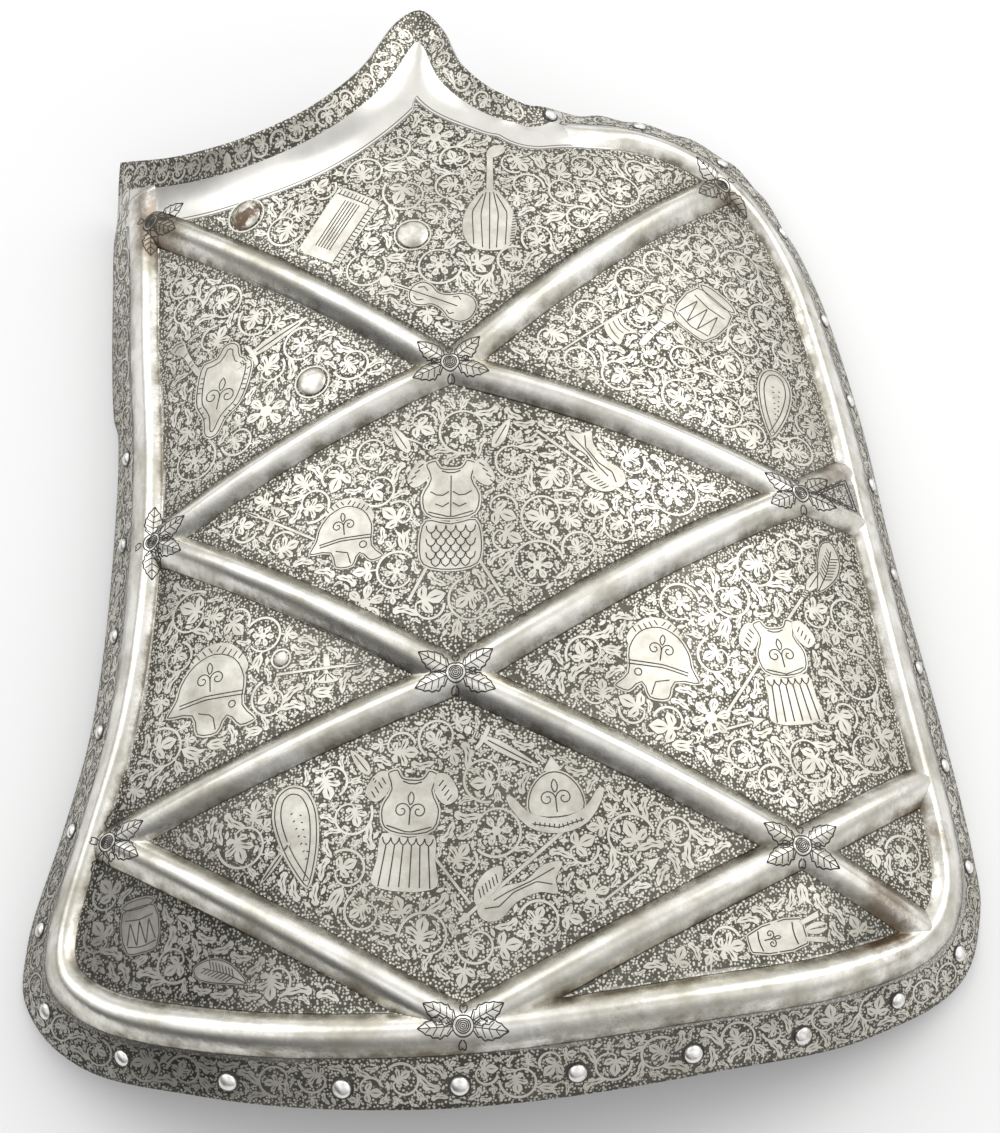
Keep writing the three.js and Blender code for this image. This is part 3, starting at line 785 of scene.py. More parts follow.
def formOf(bm):  # corners, face corners, face sizes and face materials of a bmesh
    bm.verts.index_update()
    corners = np.array([corner.co[:] for corner in bm.verts])
    loops = np.array([corner.index for face in bm.faces for corner in face.verts])
    sizes = np.array([len(face.verts) for face in bm.faces])
    metals = np.array([face.material_index for face in bm.faces])
    bm.free()
    return corners, loops, sizes, metals


def deepen(bm, flare):  # flat bright faces to a closed tablet with dark, sloping sides
    tops = list(bm.faces)
    brightness = [face.material_index for face in tops]
    extra = bmesh.ops.extrude_face_region(bm, geom=tops, use_keep_orig=True)["geom"]
    low = [item for item in extra if isinstance(item, bmesh.types.BMVert)]
    for corner in low:
        corner.co.z = etchForm["foot"]
    bmesh.ops.recalc_face_normals(bm, faces=bm.faces)
    bm.normal_update()
    for face in bm.faces:
        face.material_index = 1
    for face, metal in zip(tops, brightness):
        face.material_index = metal
    for corner in low:
        walls = [face.normal for face in corner.link_faces if abs(face.normal.z) < 0.5]
        if walls:
            corner.co += sum(walls, Vector()).normalized() * flare


def addStroke(bm, x0, y0, x1, y1, width):  # a dark sliver over a bright face
    way = Vector((x1 - x0, y1 - y0, 0)).normalized()
    side = Vector((-way.y, way.x, 0)) * width / 2
    top = Vector((0, 0, etchForm["lift"] + etchForm["lineLift"]))
    middle = Vector(((x0 + x1) / 2, (y0 + y1) / 2, 0))
    a, b = bm.verts.new(Vector((x0, y0, 0)) + top), bm.verts.new(Vector((x1, y1, 0)) + top)
    c, d = bm.verts.new(middle - side + top), bm.verts.new(middle + side + top)
    low = bm.verts.new(middle)
    for corners in ((a, c, b, d), (c, a, low), (b, c, low), (d, b, low), (a, d, low)):
        bm.faces.new(corners).material_index = 1


def leafForm(outline, strokes):
    bm = bmesh.new()
    bm.faces.new([bm.verts.new((x, y, etchForm["lift"])) for x, y in outline])
    deepen(bm, etchForm["flare"])
    for stroke in strokes:
        addStroke(bm, *stroke)
    return formOf(bm)


def heartForm(sides=12):  # centre of a flower: a bright ring, a dark ring and a bright boss
    bm = bmesh.new()
    disc = bmesh.ops.create_circle(bm, cap_ends=True, segments=sides, radius=1)
    bmesh.ops.translate(bm, verts=disc["verts"], vec=(0, 0, etchForm["lift"]))
    face = list(bm.faces)
    bmesh.ops.inset_region(bm, faces=face, thickness=etchForm["heartRim"])
    for ring in bmesh.ops.inset_region(bm, faces=face, thickness=etchForm["heartRing"])["faces"]:
        ring.material_index = 1
    deepen(bm, etchForm["heartFlare"])
    return formOf(bm)


def mirroredForm(form):
    corners, loops, sizes, metals = form
    ends = np.cumsum(sizes)
    turned = np.concatenate([loops[end - size:end][::-1] for end, size in zip(ends, sizes)])
    return corners * (1, -1, 1), turned, sizes, metals


def mirroredOutline(half):
    return [*half, *((x, -y) for x, y in half[::-1] if y != 0)][::-1]


def coverOf(outline, step=0.06):  # places inside a leaf's outline, base first
    x, y = flatGrid(np.arange(0.01, 1, step), np.arange(-0.54, 0.55, step))
    inside = insideOutline(outline, x, y)
    places = np.vstack([np.column_stack([x, y])[inside], outline])
    return places[places[:, 0].argsort()]


leafOutlines = {name: mirroredOutline(half) for name, half in leafHalves.items()}
leafOutlines["comma"] = list(commaOutline)
leafForms = {name: leafForm(outline, leafStrokes[name]) for name, outline in leafOutlines.items()}
leafForms["heart"] = heartForm()
flippedForms = {name: mirroredForm(form) for name, form in leafForms.items()}
leafCovers = {name: coverOf(outline) for name, outline in leafOutlines.items()}


# trays collect shapes of one piece, beds hold the half-millimetre cells that are still free
def newTray():
    return dict(points=[], loops=[], sizes=[], metals=[], count=0)


def put(tray, points, loops, sizes, metals):
    tray["points"].append(points)
    tray["loops"].append(loops + tray["count"])
    tray["sizes"].append(sizes)
    tray["metals"].append(metals)
    tray["count"] += len(points)


def turnTo(points, x, y, angle):  # points turned and moved to a place
    points = np.asarray(points, float)
    cos, sin = math.cos(angle), math.sin(angle)
    return np.column_stack([x + cos * points[:, 0] - sin * points[:, 1],
                            y + sin * points[:, 0] + cos * points[:, 1]])


def stamp(tray, name, x, y, angle, size, flip=False):
    corners, loops, sizes, metals = (flippedForms if flip else leafForms)[name]
    placed = np.column_stack([turnTo(size * corners[:, :2], x, y, angle), corners[:, 2]])
    put(tray, placed, loops, sizes, metals)


def ribbon(tray, line, wide, thin=None, lift=None, metal=0):  # a strip along a line, its sides dark
    line = np.asarray(line, float)
    count = len(line)
    way = np.gradient(line, axis=0)
    way /= np.linalg.norm(way, axis=1)[:, None] + 1e-9
    half = np.linspace(wide, wide if thin is None else thin, count)[:, None] / 2
    left = np.column_stack([-way[:, 1], way[:, 0]])
    flare = 0 if metal else etchForm["stemFlare"]
    points = np.empty((count, 4, 3))
    for k, reach in enumerate((half, -half, -half - flare, half + flare)):
        points[:, k, :2] = line + left * reach
    points[:, :2, 2] = etchForm["lift"] if lift is None else lift
    points[:, 2:, 2] = etchForm["foot"]
    a = 4 * np.arange(count - 1)
    faces = ((1, 5, 4, 0), (0, 4, 7, 3), (3, 7, 6, 2), (2, 6, 5, 1))  # top, left, below, right
    quads = np.stack([np.column_stack([a + k for k in face]) for face in faces], 1)
    last = 4 * (count - 1)
    ends = np.array([0, 3, 2, 1, last + 1, last + 2, last + 3, last])
    sizes = np.full(4 * (count - 1) + 2, 4)
    metals = np.append(np.tile([metal, 1, 1, 1], count - 1), [1, 1])
    put(tray, points.reshape(-1, 3), np.append(quads.ravel(), ends), sizes, metals)


def darkStroke(tray, line, top):  # an engraved line over a bright tablet
    ribbon(tray, line, etchForm["lineWide"], lift=top + etchForm["lineLift"], metal=1)


def ringLine(x, y, reach, sides=32):
    way = np.linspace(0, 2 * math.pi, sides + 1)
    return np.column_stack([x + reach * np.cos(way), y + reach * np.sin(way)])


def trayPiece(name, tray, lay, materials, slot="plate_steel"):
    points = lay(np.concatenate(tray["points"])) * mm
    loops, sizes = np.concatenate(tray["loops"]), np.concatenate(tray["sizes"])
    mesh = bpy.data.meshes.new(name)
    mesh.vertices.add(len(points))
    mesh.vertices.foreach_set("co", points.ravel())
    mesh.loops.add(len(loops))
    mesh.loops.foreach_set("vertex_index", loops)
    mesh.polygons.add(len(sizes))
    mesh.polygons.foreach_set("loop_start", np.cumsum(sizes) - sizes)
    mesh.polygons.foreach_set("material_index", np.concatenate(tray["metals"]))
    mesh.update(calc_edges=True)
    piece = newPiece(name, mesh, materials, slot)
    mesh.shade_flat()
    print(name, "made:", int((sizes - 2).sum()), "triangles")
    return piece


def newBed(x, y, room):
    return dict(x=x[0], y=y[0], room=room, taken=room <= 0)


def cellsOf(bed, x, y):
    high, wide = bed["taken"].shape
    i = np.clip(np.rint((x - bed["x"]) / etchForm["cell"]).astype(int), 1, wide - 2)
    j = np.clip(np.rint((y - bed["y"]) / etchForm["cell"]).astype(int), 1, high - 2)
    return j, i


def isFree(bed, x, y):
    return not bed["taken"][cellsOf(bed, x, y)].any()


def take(bed, x, y):  # the cells at some places and the ones beside them
    j, i = cellsOf(bed, x, y)
    for up, right in ((0, 0), (1, 0), (-1, 0), (0, 1), (0, -1)):
        bed["taken"][j + up, i + right] = True


def finer(line, step):  # places every step along a line of points
    line = np.asarray(line, float)
    length = np.append(0, np.cumsum(np.linalg.norm(np.diff(line, axis=0), axis=1)))
    at = np.linspace(0, length[-1], max(2, round(length[-1] / step) + 1))
    return np.column_stack([np.interp(at, length, line[:, k]) for k in (0, 1)])


def placeLeaf(tray, bed, name, x, y, angle, size, flip=False, rooted=True):  # only where it is free
    cover = leafCovers[name]
    across = -cover[:, 1] if flip else cover[:, 1]
    px, py = turnTo(size * np.column_stack([cover[:, 0], across]), x, y, angle).T
    body = np.searchsorted(cover[:, 0], etchForm["stalk"]) if rooted else 0  # its stalk may touch the stem
    if not isFree(bed, px[body:], py[body:]):
        return False
    stamp(tray, name, x, y, angle, size, flip)
    take(bed, px, py)
    return True


flowerForm = dict(petals=6, base=0.28, petal=0.74, heart=0.30, bedStep=0.4)


def growFlower(tray, bed, x, y, reach, turn):
    form = flowerForm
    base, step = form["base"] * reach, form["bedStep"]
    for k in range(form["petals"]):
        way = turn + 2 * math.pi * k / form["petals"]
        stamp(tray, "petal", x + base * math.cos(way), y + base * math.sin(way), way, form["petal"] * reach)
    stamp(tray, "heart", x, y, turn, form["heart"] * reach)
    for r in np.arange(0, reach, step):
        way = np.arange(0, 2 * math.pi, step / max(r, step))
        take(bed, x + r * np.cos(way), y + r * np.sin(way))


# rings that touch their neighbours, the large ones first, which the scrolls then fill
scrollForm = dict(pick=0.25, least=0.86, loose=0.8, touch=2.5, flowerFrom=9, flowers=0.3, wideFrom=8.5,
                  start=0.95, closing=1.3, leastSteps=8, steps=3.4, bedStep=0.4, bedOff=0.4,
                  leavesFrom=1.2, leavesTo=1, spacing=2.4, endFlower=0.56, endBends=(0.9, 0.5, 1.3, 0.1),
                  # below: turns, and what is left of the ring
                  flower=(0.8, 0.74), wide=(0.85, 0.44), small=(0.55, 0.6))


def packRings(bed, reaches, dice):  # reaches: ring radius and the share of the room it may take
    j, i = np.nonzero(~bed["taken"])
    pick = dice.random(len(j)) < scrollForm["pick"]
    j, i = j[pick], i[pick]
    x, y, free = bed["x"] + etchForm["cell"] * i, bed["y"] + etchForm["cell"] * j, bed["room"][j, i]
    area = len(j) / scrollForm["pick"] * etchForm["cell"] ** 2
    rings = []
    for largest, share in reaches:
        left = share * area
        while left > 0:
            reach = largest * dice.uniform(scrollForm["least"], 1)
            left -= math.pi * reach ** 2
            room = np.flatnonzero(free >= reach)
            if len(room) == 0:
                break
            k = room[np.argmin(free[room] + dice.uniform(0, scrollForm["loose"], len(room)))]
            rings.append((x[k], y[k], reach))
            free = np.minimum(free, np.hypot(x - x[k], y - y[k]) - reach)
    return rings


def growStems(tray, bed, rings, dice):  # a spiral in each ring, led in from the ring it touches
    form = scrollForm
    stems, hands = [], []
    for k, (x, y, reach) in enumerate(rings):
        gaps = [math.hypot(x - a, y - b) - reach - c for a, b, c in rings[:k]]
        touching = int(np.argmin(gaps)) if gaps else None
        if touching is not None and gaps[touching] < form["touch"]:
            a, b, c = rings[touching]
            entry, hand = math.atan2(b - y, a - x), -hands[touching]
        else:
            entry, hand = dice.uniform(0, 2 * math.pi), int(dice.choice((-1, 1)))
        hands.append(hand)
        flower = reach > form["flowerFrom"] and dice.random() < form["flowers"]
        turns, tight = form["flower" if flower else "wide" if reach > form["wideFrom"] else "small"]
        share = np.linspace(0, 1, int(form["leastSteps"] + form["steps"] * reach * turns))
        angle = entry + hand * 2 * math.pi * turns * share
        radius = reach * (form["start"] - (form["start"] - tight) * share ** form["closing"])
        stem = np.column_stack([x + radius * np.cos(angle), y + radius * np.sin(angle)])
        ribbon(tray, stem, etchForm["stemWide"], etchForm["stemThin"])
        stems.append((stem, hand, x, y, reach, flower))
    for stem, *_ in stems:
        fine = finer(stem, form["bedStep"])
        way = np.gradient(fine, axis=0)
        side = np.column_stack([-way[:, 1], way[:, 0]]) / np.linalg.norm(way, axis=1)[:, None]
        for off in (-form["bedOff"], form["bedOff"]):
            take(bed, *(fine + off * side).T)
    return stems


leafSizes = (11.5, 10, 8.8, 7.6, 6.6, 5.6, 4.7, 3.9)
endSizes = (13.5, 12.4, *leafSizes[:6])
leafKinds = ("trefoil", "vine", "comma", "trefoil", "tulip", "comma")
leafTurns = dict(broad=(1.0, 1.45), slim=(0.55, 0.9))  # how far a leaf leans away from its stem
leafStalks = dict(broad=1.4, slim=0.5)


def growEnd(tray, bed, stem, dice):  # the flower or the large leaf that a stem ends in
    line, hand, x, y, reach, flower = stem
    if flower:
        growFlower(tray, bed, x, y, scrollForm["endFlower"] * reach, dice.uniform(0, 1))
        return
    tip = line[-1]
    way = line[-1] - line[-2]
    heading = math.atan2(way[1], way[0])
    for bend in scrollForm["endBends"]:
        for size in endSizes:
            name = ("vine", "trefoil")[int(dice.integers(2))]
            if placeLeaf(tray, bed, name, *tip, heading + hand * bend, size):
                return


def growLeaves(tray, bed, stem, dice):  # leaves to both sides of a stem, as large as there is room for
    line = stem[0]
    way = np.gradient(line, axis=0)
    length = np.append(0, np.cumsum(np.linalg.norm(np.diff(line, axis=0), axis=1)))
    form = scrollForm
    for at in np.arange(form["leavesFrom"], length[-1] - form["leavesTo"], form["spacing"]):
        k = int(np.searchsorted(length, at))
        heading = math.atan2(way[k, 1], way[k, 0])
        for side in dice.permutation((-1, 1)):
            name = leafKinds[int(dice.integers(len(leafKinds)))]
            kind = "slim" if name == "comma" else "broad"
            turn = heading + side * dice.uniform(*leafTurns[kind])
            foot = line[k] + leafStalks[kind] * np.array([math.cos(turn), math.sin(turn)])
            for size in leafSizes:
                if placeLeaf(tray, bed, name, *foot, turn, size, flip=side > 0):
                    ribbon(tray, [line[k], foot], etchForm["stemThin"])
                    break


def shrunk(free):  # the free cells whose four neighbours are free too
    near = free.copy()
    near[1:] &= free[:-1]
    near[:-1] &= free[1:]
    near[:, 1:] &= free[:, :-1]
    near[:, :-1] &= free[:, 1:]
    return near


def roomyCells(taken, count):  # cells with so many free ones on every side
    free = ~taken
    for _ in range(count):
        free = shrunk(free)
    return np.argwhere(free)


fillKinds = {**dict.fromkeys((10, 8.6, 7.2, 6.0, 5.0), leafKinds), 4.1: ("comma", "bud", "trefoil")}
fillForm = dict(tries=2500, room=0.28, middle=0.5, flips=0.5)  # room and middle as shares of a leaf's length


def fillGaps(tray, bed, dice):
    for size, names in fillKinds.items():
        cells = roomyCells(bed["taken"], int(fillForm["room"] * size / etchForm["cell"]))
        for j, i in cells[dice.permutation(len(cells))[:fillForm["tries"]]]:
            if bed["taken"][j, i]:
                continue
            turn = dice.uniform(0, 2 * math.pi)
            back = fillForm["middle"] * size
            x = bed["x"] + etchForm["cell"] * i - back * math.cos(turn)
            y = bed["y"] + etchForm["cell"] * j - back * math.sin(turn)
            name = names[int(dice.integers(len(names)))]
            flip = dice.random() < fillForm["flips"]
            placeLeaf(tray, bed, name, x, y, turn, size, flip, rooted=False)


def growFoliage(tray, bed, reaches, dice):
    stems = growStems(tray, bed, packRings(bed, reaches, dice), dice)
    for stem in stems:
        growEnd(tray, bed, stem, dice)
    for stem in stems:
        growLeaves(tray, bed, stem, dice)
    fillGaps(tray, bed, dice)


# trophies: arms and instruments, drawn in millimetres with y towards their top
# halves: outlines to mirror, plates: whole outlines, rims: how far inside them their contours lie
# lines: dark strokes, pairs: strokes to mirror, ticks: short strokes, x0, y0, x1, y1, dx, dy and their count
# scroll and heart: place and size of two curls and of a ring, scales: half width, top, foot and pitch
trophyForms = {
    "lute": dict(
        halves=[((0, -30), (9, -28), (14, -18), (13, -6), (8, 4), (2.6, 10)), ((1.9, 8), (1.5, 33))],
        plates=[((-1.8, 32), (1.8, 32), (8, 37), (6.5, 41), (0, 39))],
        pairs=[((2.0, 8), (4.6, -6), (3.6, -28)), ((3.4, 7), (9.2, -5), (8.2, -26))],
        lines=[((0, 8), (0, -29))],
        ticks=[(10.6, -24, 12.4, -4, 2.2, 0.6, 12)]),
    "book": dict(
        plates=[((-12, -20), (12, -20), (12, 20), (-12, 20))], rims=[1.0],
        lines=[*(((x, -14), (x, 14)) for x in (-5, -3.4, -1.8, -0.2, 1.4, 3.0)),
               ((8.4, -19), (8.4, 16), (-11, 16))],
        ticks=[(8.6, -18, 8.6, 15, 2.6, 0, 16), (-10, 16.2, 7, 16.2, 0, 2.6, 9)]),
    "viol": dict(
        halves=[((0, -21), (5, -20), (9, -16), (9.5, -9), (6, -3), (4.8, 3), (7.5, 8), (8, 14), (4, 18),
                 (0, 19))],
        plates=[((-1.4, -12), (1.4, -12), (1.1, 31), (-1.1, 31)),
                ((-1.6, 30), (2, 31), (4, 35), (0, 37), (-3, 34))],
        rims=[0.9], lines=[((0, -10), (0, 28))],
        pairs=[((4.6, -10), (6.2, -8), (4.6, -5.5)), ((3, 9), (4.6, 12), (3, 15))]),
    "cartouche": dict(
        halves=[((0, 27), (4.5, 25), (7, 19), (14, 16), (15, 4), (12.5, -8), (7, -15), (4, -24), (0, -26))],
        rims=[1.0, 4.0], scroll=(0, -10, 17),
        ticks=[(9.4, 13, 12, 11, 1.6, 1.2, 2), (11, 8, 11.4, 0, 2, 0, 4), (-11, 8, -11.4, 0, -2, 0, 4),
               (9, -8, 5, -14, 1.6, -1, 3), (-9, -8, -5, -14, -1.6, -1, 3)]),
    "sword": dict(
        halves=[((0, -34), (1.7, -28), (2.1, 4)), ((0, 3.6), (8, 4.6), (8.6, 6.6), (0, 6)),
                ((1.3, 6), (1.1, 14)), ((0, 13), (2.2, 14), (2.2, 17), (0, 18))],
        lines=[((0, 2), (0, -28))], ticks=[(-1, 7, -1, 13, 2, 0.5, 5)]),
    "halberd": dict(
        halves=[((0.9, -34), (0.9, 18)), ((0, 34), (1.8, 18), (0, 15))],
        plates=[((0.9, 3), (4, 5), (10, 12), (11.5, 3), (9, -6), (4, 1)),
                ((-0.9, 6), (-9, 5), (-11, 1), (-0.9, 1))],
        lines=[((0, 30), (0, 18)), ((4.5, 4), (9, 8)), ((4.5, 3), (9.6, 2.4)), ((4.5, 2), (8.6, -3))]),
    "cuirass": dict(
        halves=[((0, -35), (12, -32), (14, -22), (11, -11), (0, -12.6)),
                ((0, -12), (11, -9), (13, 0), (9.5, 8), (11.5, 15), (6.5, 17), (4, 13.5), (0, 13))],
        plates=[((-10, 15), (-13, 17), (-19, 8), (-16, 4), (-10, 8)),
                ((10, 15), (13, 17), (19, 8), (16, 4), (10, 8))],
        rims=[0.9, 1.0], scales=[(10.4, -14, -30, 4.2)],
        lines=[((0, 9), (0, -10)), ((-4, 11.4), (0, 10), (4, 11.4)), ((-9.6, -7.6), (0, -10.4), (9.6, -7.6))],
        pairs=[((0.8, 1.6), (4.6, -0.8), (8.8, 1.8)), ((0.8, -3.6), (3.6, -5.4), (6.6, -4))],
        ticks=[(12, 15, 16.6, 7, 2.2, -1.6, 4), (-12, 15, -16.6, 7, -2.2, -1.6, 4)]),
    "harness": dict(
        halves=[((0, -35), (7, -34.6), (14, -32), (12.4, -22), (11, -11), (0, -12.6)),
                ((0, -12), (11, -9), (13, 0), (9.5, 8), (11.5, 15), (6.5, 17), (4, 13.5), (0, 13))],
        plates=[((-10, 15), (-15, 15), (-20, 6), (-15, 2), (-10, 7)),
                ((10, 15), (15, 15), (20, 6), (15, 2), (10, 7))],
        rims=[0, 1.0], scroll=(0, -7, 14), scales=[(10.8, -12.6, -14, 3.6)],
        lines=[*(((x, -15.8), (1.22 * x, -33.2)) for x in (-9, -5.4, -1.8, 1.8, 5.4, 9)),
               ((-4, 11.4), (0, 10), (4, 11.4)), ((-9.6, -7.6), (0, -10.4), (9.6, -7.6))],
        ticks=[(11.4, 10, 15.4, 4, 1.8, 2.6, 4), (-11.4, 10, -15.4, 4, -1.8, 2.6, 4)]),
    "standard": dict(
        halves=[((0.9, -36), (0.9, 30)), ((0, 29), (2.2, 31), (0, 38))],
        plates=[((0.9, 25), (7, 26), (12, 20), (11, 8), (15, -4), (21, -10), (15, -14), (11, -22), (6, -14),
                 (6, -2), (2, 6), (0.9, 10)), ((-0.9, 24), (-7, 20), (-10, 10), (-7, 2), (-0.9, 8))],
        lines=[((3, 22), (7, 16), (6.5, 6), (10, -6), (16, -11)), ((3, 16), (4.5, 8), (8, -4), (10.6, -17))],
        ticks=[(-2, 20, -2, 9, -4, -2, 6)]),
    "burgonet": dict(
        plates=[((-19, -7), (-15, 0), (-13, 6), (-7, 13), (2, 16), (11, 12), (15, 3), (14, -8), (19, -15),
                 (12, -17), (7, -12), (3, -18), (-6, -17), (-8, -9)),
                ((-9, 12), (-2, 19), (9, 18), (16, 8), (14, 4), (10, 11), (1, 14))],
        rims=[0.9, 0], heart=(9, -7, 1.6), scroll=(0, 0, 12),
        lines=[((-13, -3), (-2, -1.6), (13.6, -2.4)), ((-13, -4.4), (-2, -3), (13.8, -4)),
               ((-5, -8), (1, -10), (2, -16))],
        ticks=[(-7, 13.6, 1, 16, -1.4, 2.2, 4), (3, 16, 12, 11, 1.8, 2, 5)]),
    "morion": dict(
        halves=[((0, -5), (12, -2), (11.5, 7), (6, 14), (0, 16)), ((0, 15), (4, 16), (0, 22)),
                ((0, -11), (13, -7), (21, 6), (19, 7), (12, -1), (0, -4.6))],
        rims=[0.9, 0, 0], scroll=(0, -2, 14), lines=[((-11, -6), (0, -8.6), (11, -6))],
        ticks=[(-10, -7, 0, -9, 0.3, 1.8, 6), (2, -8.8, 10, -7, -0.3, 1.8, 5)]),
    "plume": dict(
        plates=[((-1, -21), (1, -21), (7, -11), (10, 1), (7, 13), (-2, 21), (-8, 16), (-8, 4), (-5, -8))],
        rims=[0.8], lines=[((0, -20), (1.6, -4), (0, 14))],
        ticks=[(1.2, -10, 1.4, 8, 5, 3.4, 8), (0.8, -10, 1.0, 10, -4.4, 4, 8)]),
    "banner": dict(
        halves=[((0.8, -32), (0.8, 30)), ((0, 29), (1.8, 31), (0, 37))],
        plates=[((0.8, 27), (9, 24), (20, 28), (16, 18), (21, 8), (10, 6), (0.8, 10))],
        lines=[((2, 23), (9, 20.5), (16, 23)), ((2, 18), (9, 16), (14.6, 17.6)),
               ((2, 13.4), (9, 11), (17, 11))]),
    "drum": dict(
        halves=[((0, -15), (10, -13), (11, 12), (0, 14)), ((0, 11), (8, 12), (11.4, 15), (8, 18), (0, 19))],
        rims=[0.8, 1.2],
        lines=[((-9, -9), (0, -11), (9, -9)), ((-9, 7), (0, 5.6), (9, 7)),
               ((-9, -8), (-6, 5), (-3, -10), (0, 5), (3, -10), (6, 5), (9, -8))]),
    "oval": dict(
        halves=[((0, 20), (5.6, 17.5), (8.6, 10), (8, 0), (5, -11), (0, -20))], rims=[1.0, 3.4],
        ticks=[(-1.5, 9, 1, -9, 0.8, 0.4, 7), (1.8, 8, 2, -6, 0.7, -0.5, 6)]),
    "horn": dict(
        plates=[((-21, -6), (-8, -2), (6, 1), (14, 7), (20, 9), (23, 3), (20, -4), (9, -4), (-6, -6),
                 (-20, -9))],
        lines=[((15, 6.4), (18, 2), (16, -3)), ((-8, -2.6), (-7, -5.4)), ((-4, -1.6), (-3, -5)),
               ((5, 0.4), (7, -3.6)), ((20, 7), (21.4, 3), (19.6, -2))]),
    "quiver": dict(
        halves=[((0, -19), (5, -18), (7, 12), (0, 13)), ((1, 13), (3, 20), (1, 25), (0, 14))], rims=[0.9, 0],
        plates=[((3, 12), (5, 11), (8, 22), (5, 22)), ((-3, 12), (-5, 11), (-8, 22), (-5, 22))],
        lines=[((-5.6, 7), (0, 6), (5.6, 7)), ((-5, -12), (0, -13), (5, -12))], scroll=(0, -10, 9)),
    "spear": dict(
        halves=[((0.8, -50), (0.8, 43)), ((0, 41), (1.2, 42), (3.2, 48), (0, 60))],
        lines=[((0, 44), (0, 56))], ticks=[(-0.8, 36, -0.8, 41, 1.6, 0.6, 4)]),
    "arrow": dict(
        halves=[((0.6, -18), (0.6, 14)), ((0, 22), (3.4, 13), (0, 15)),
                ((0, -14), (2.6, -17), (2.6, -23), (0, -20))],
        ticks=[(0.4, -20, 0.4, -15, 1.8, -1.6, 3), (-0.4, -20, -0.4, -15, -1.8, -1.6, 3)]),
}
scaleArc = ((0, 0), (0.12, 0.55), (0.5, 0.85), (0.88, 0.55), (1, 0))
trophies = {  # form, x, y, turn and size, and True where it is drawn the other way round
    "neck": [("lute", -7, 150, 0, 1.0), ("book", -80, 141, -30, 1.0), ("viol", -30, 94, 66, 0.9)],
    "leftUpper": [("sword", -117, 79, 118, 0.85), ("horn", -156, 84, 110, 0.6),
                  ("cartouche", -136, 62, -10, 0.95)],
    "rightUpper": [("horn", 72, 88, 40, 0.7), ("drum", 96, 100, -35, 1.0), ("oval", 130, 58, -8, 1.05),
                   ("banner", 42, 80, -50, 0.62)],
    "centre": [("spear", -22, -18, -27, 0.9), ("spear", -24, -18, 31, 0.9), ("cuirass", -24, -8, 0, 1.05),
               ("burgonet", -72, -24, 6, 0.9), ("halberd", -104, -14, 60, 0.62),
               ("standard", 36, 8, -127, 0.85, True), ("arrow", -46, 22, 65, 0.9)],
    "leftLower": [("burgonet", -132, -90, 4, 1.15), ("halberd", -80, -86, -88, 0.85)],
    "right": [("spear", 120, -70, -33, 0.85), ("harness", 124, -74, 12, 0.95),
              ("burgonet", 68, -84, -8, 1.0, True), ("arrow", 98, -112, -70, 0.8),
              ("plume", 150, -26, -20, 0.7)],
    "lower": [("spear", -38, -160, 38, 0.8), ("sword", -96, -168, -36, 0.8), ("oval", -88, -160, 12, 1.15),
              ("harness", -40, -150, -4, 1.0), ("standard", 4, -178, 131, 0.85, True),
              ("morion", 22, -150, 6, 1.0), ("sword", -6, -122, 62, 0.7), ("arrow", 50, -182, -52, 0.9)],
    "bottomLeft": [("drum", -158, -194, 10, 0.8), ("plume", -120, -216, 70, 0.6)],
    "bottomRight": [("quiver", 118, -200, -74, 0.85)],
}
flowers = {  # x, y and reach of the large flowers
    "neck": [(-34, 192, 9.5)], "leftUpper": [(-112, 45, 10)], "centre": [(-62, -58, 9)],
    "right": [(90, -108, 9)], "lower": [(36, -186, 8)],
}


def rounded(outline, perSide=3):  # a closed outline drawn through its corners as a curve
    corners = np.array(outline, float)
    fours = zip(*(np.roll(corners, 1 - k, axis=0) for k in range(4)))  # each side with the corners beside it
    return [curvePoint(*four, s / perSide) for four in fours for s in range(perSide)]


def setIn(outline, depth):  # an outline drawn a little inside another
    points = np.array(outline)
    way = np.roll(points, -1, axis=0) - np.roll(points, 1, axis=0)
    way /= np.linalg.norm(way, axis=1)[:, None] + 1e-9
    area = np.sum(points[:, 0] * np.roll(points[:, 1], -1) - points[:, 1] * np.roll(points[:, 0], -1))
    inner = points + np.column_stack([-way[:, 1], way[:, 0]]) * depth * np.sign(area)
    return np.vstack([inner, inner[:1]])


def tabletForm(outline, lift):
    bm = bmesh.new()
    bm.faces.new([bm.verts.new((x, y, lift)) for x, y in outline])
    bmesh.ops.recalc_face_normals(bm, faces=bm.faces)
    for way in (Vector((1, 0, 0)), Vector((0, 1, 0))):  # cut so that it follows the curved plate
        reach = [corner.co.dot(way) for corner in bm.verts]
        for at in np.arange(min(reach) + etchForm["cut"], max(reach), etchForm["cut"]):
            everything = [*bm.verts, *bm.edges, *bm.faces]
            bmesh.ops.bisect_plane(bm, geom=everything, plane_co=way * at, plane_no=way)
    deepen(bm, etchForm["edgeFlare"])
    return formOf(bm)


trophyForm = dict(clear=0.3, shrink=0.96, least=0.4, overlap=0.03, bedStep=0.45, corner=1.2, straight=3)
scrollMotif = dict(turns=1.3, reach=0.26, closing=0.2, up=0.42, bud=0.42, budUp=0.6)  # shares of its size


def scrollLines():  # two curls from one stem, with a bud between them
    form = scrollMotif
    share = np.linspace(0, 1, 20)
    angle, reach = math.pi * (1 - 2 * form["turns"] * share), form["reach"] - form["closing"] * share
    curl = np.column_stack([form["reach"] + reach * np.cos(angle), form["up"] + reach * np.sin(angle)])
    right = np.vstack([(0, 0), curl])
    bud = form["bud"] * np.array(leafOutlines["bud"])[:, ::-1] + (0, form["budUp"])
    return right, right * (-1, 1), np.vstack([bud, bud[:1]])


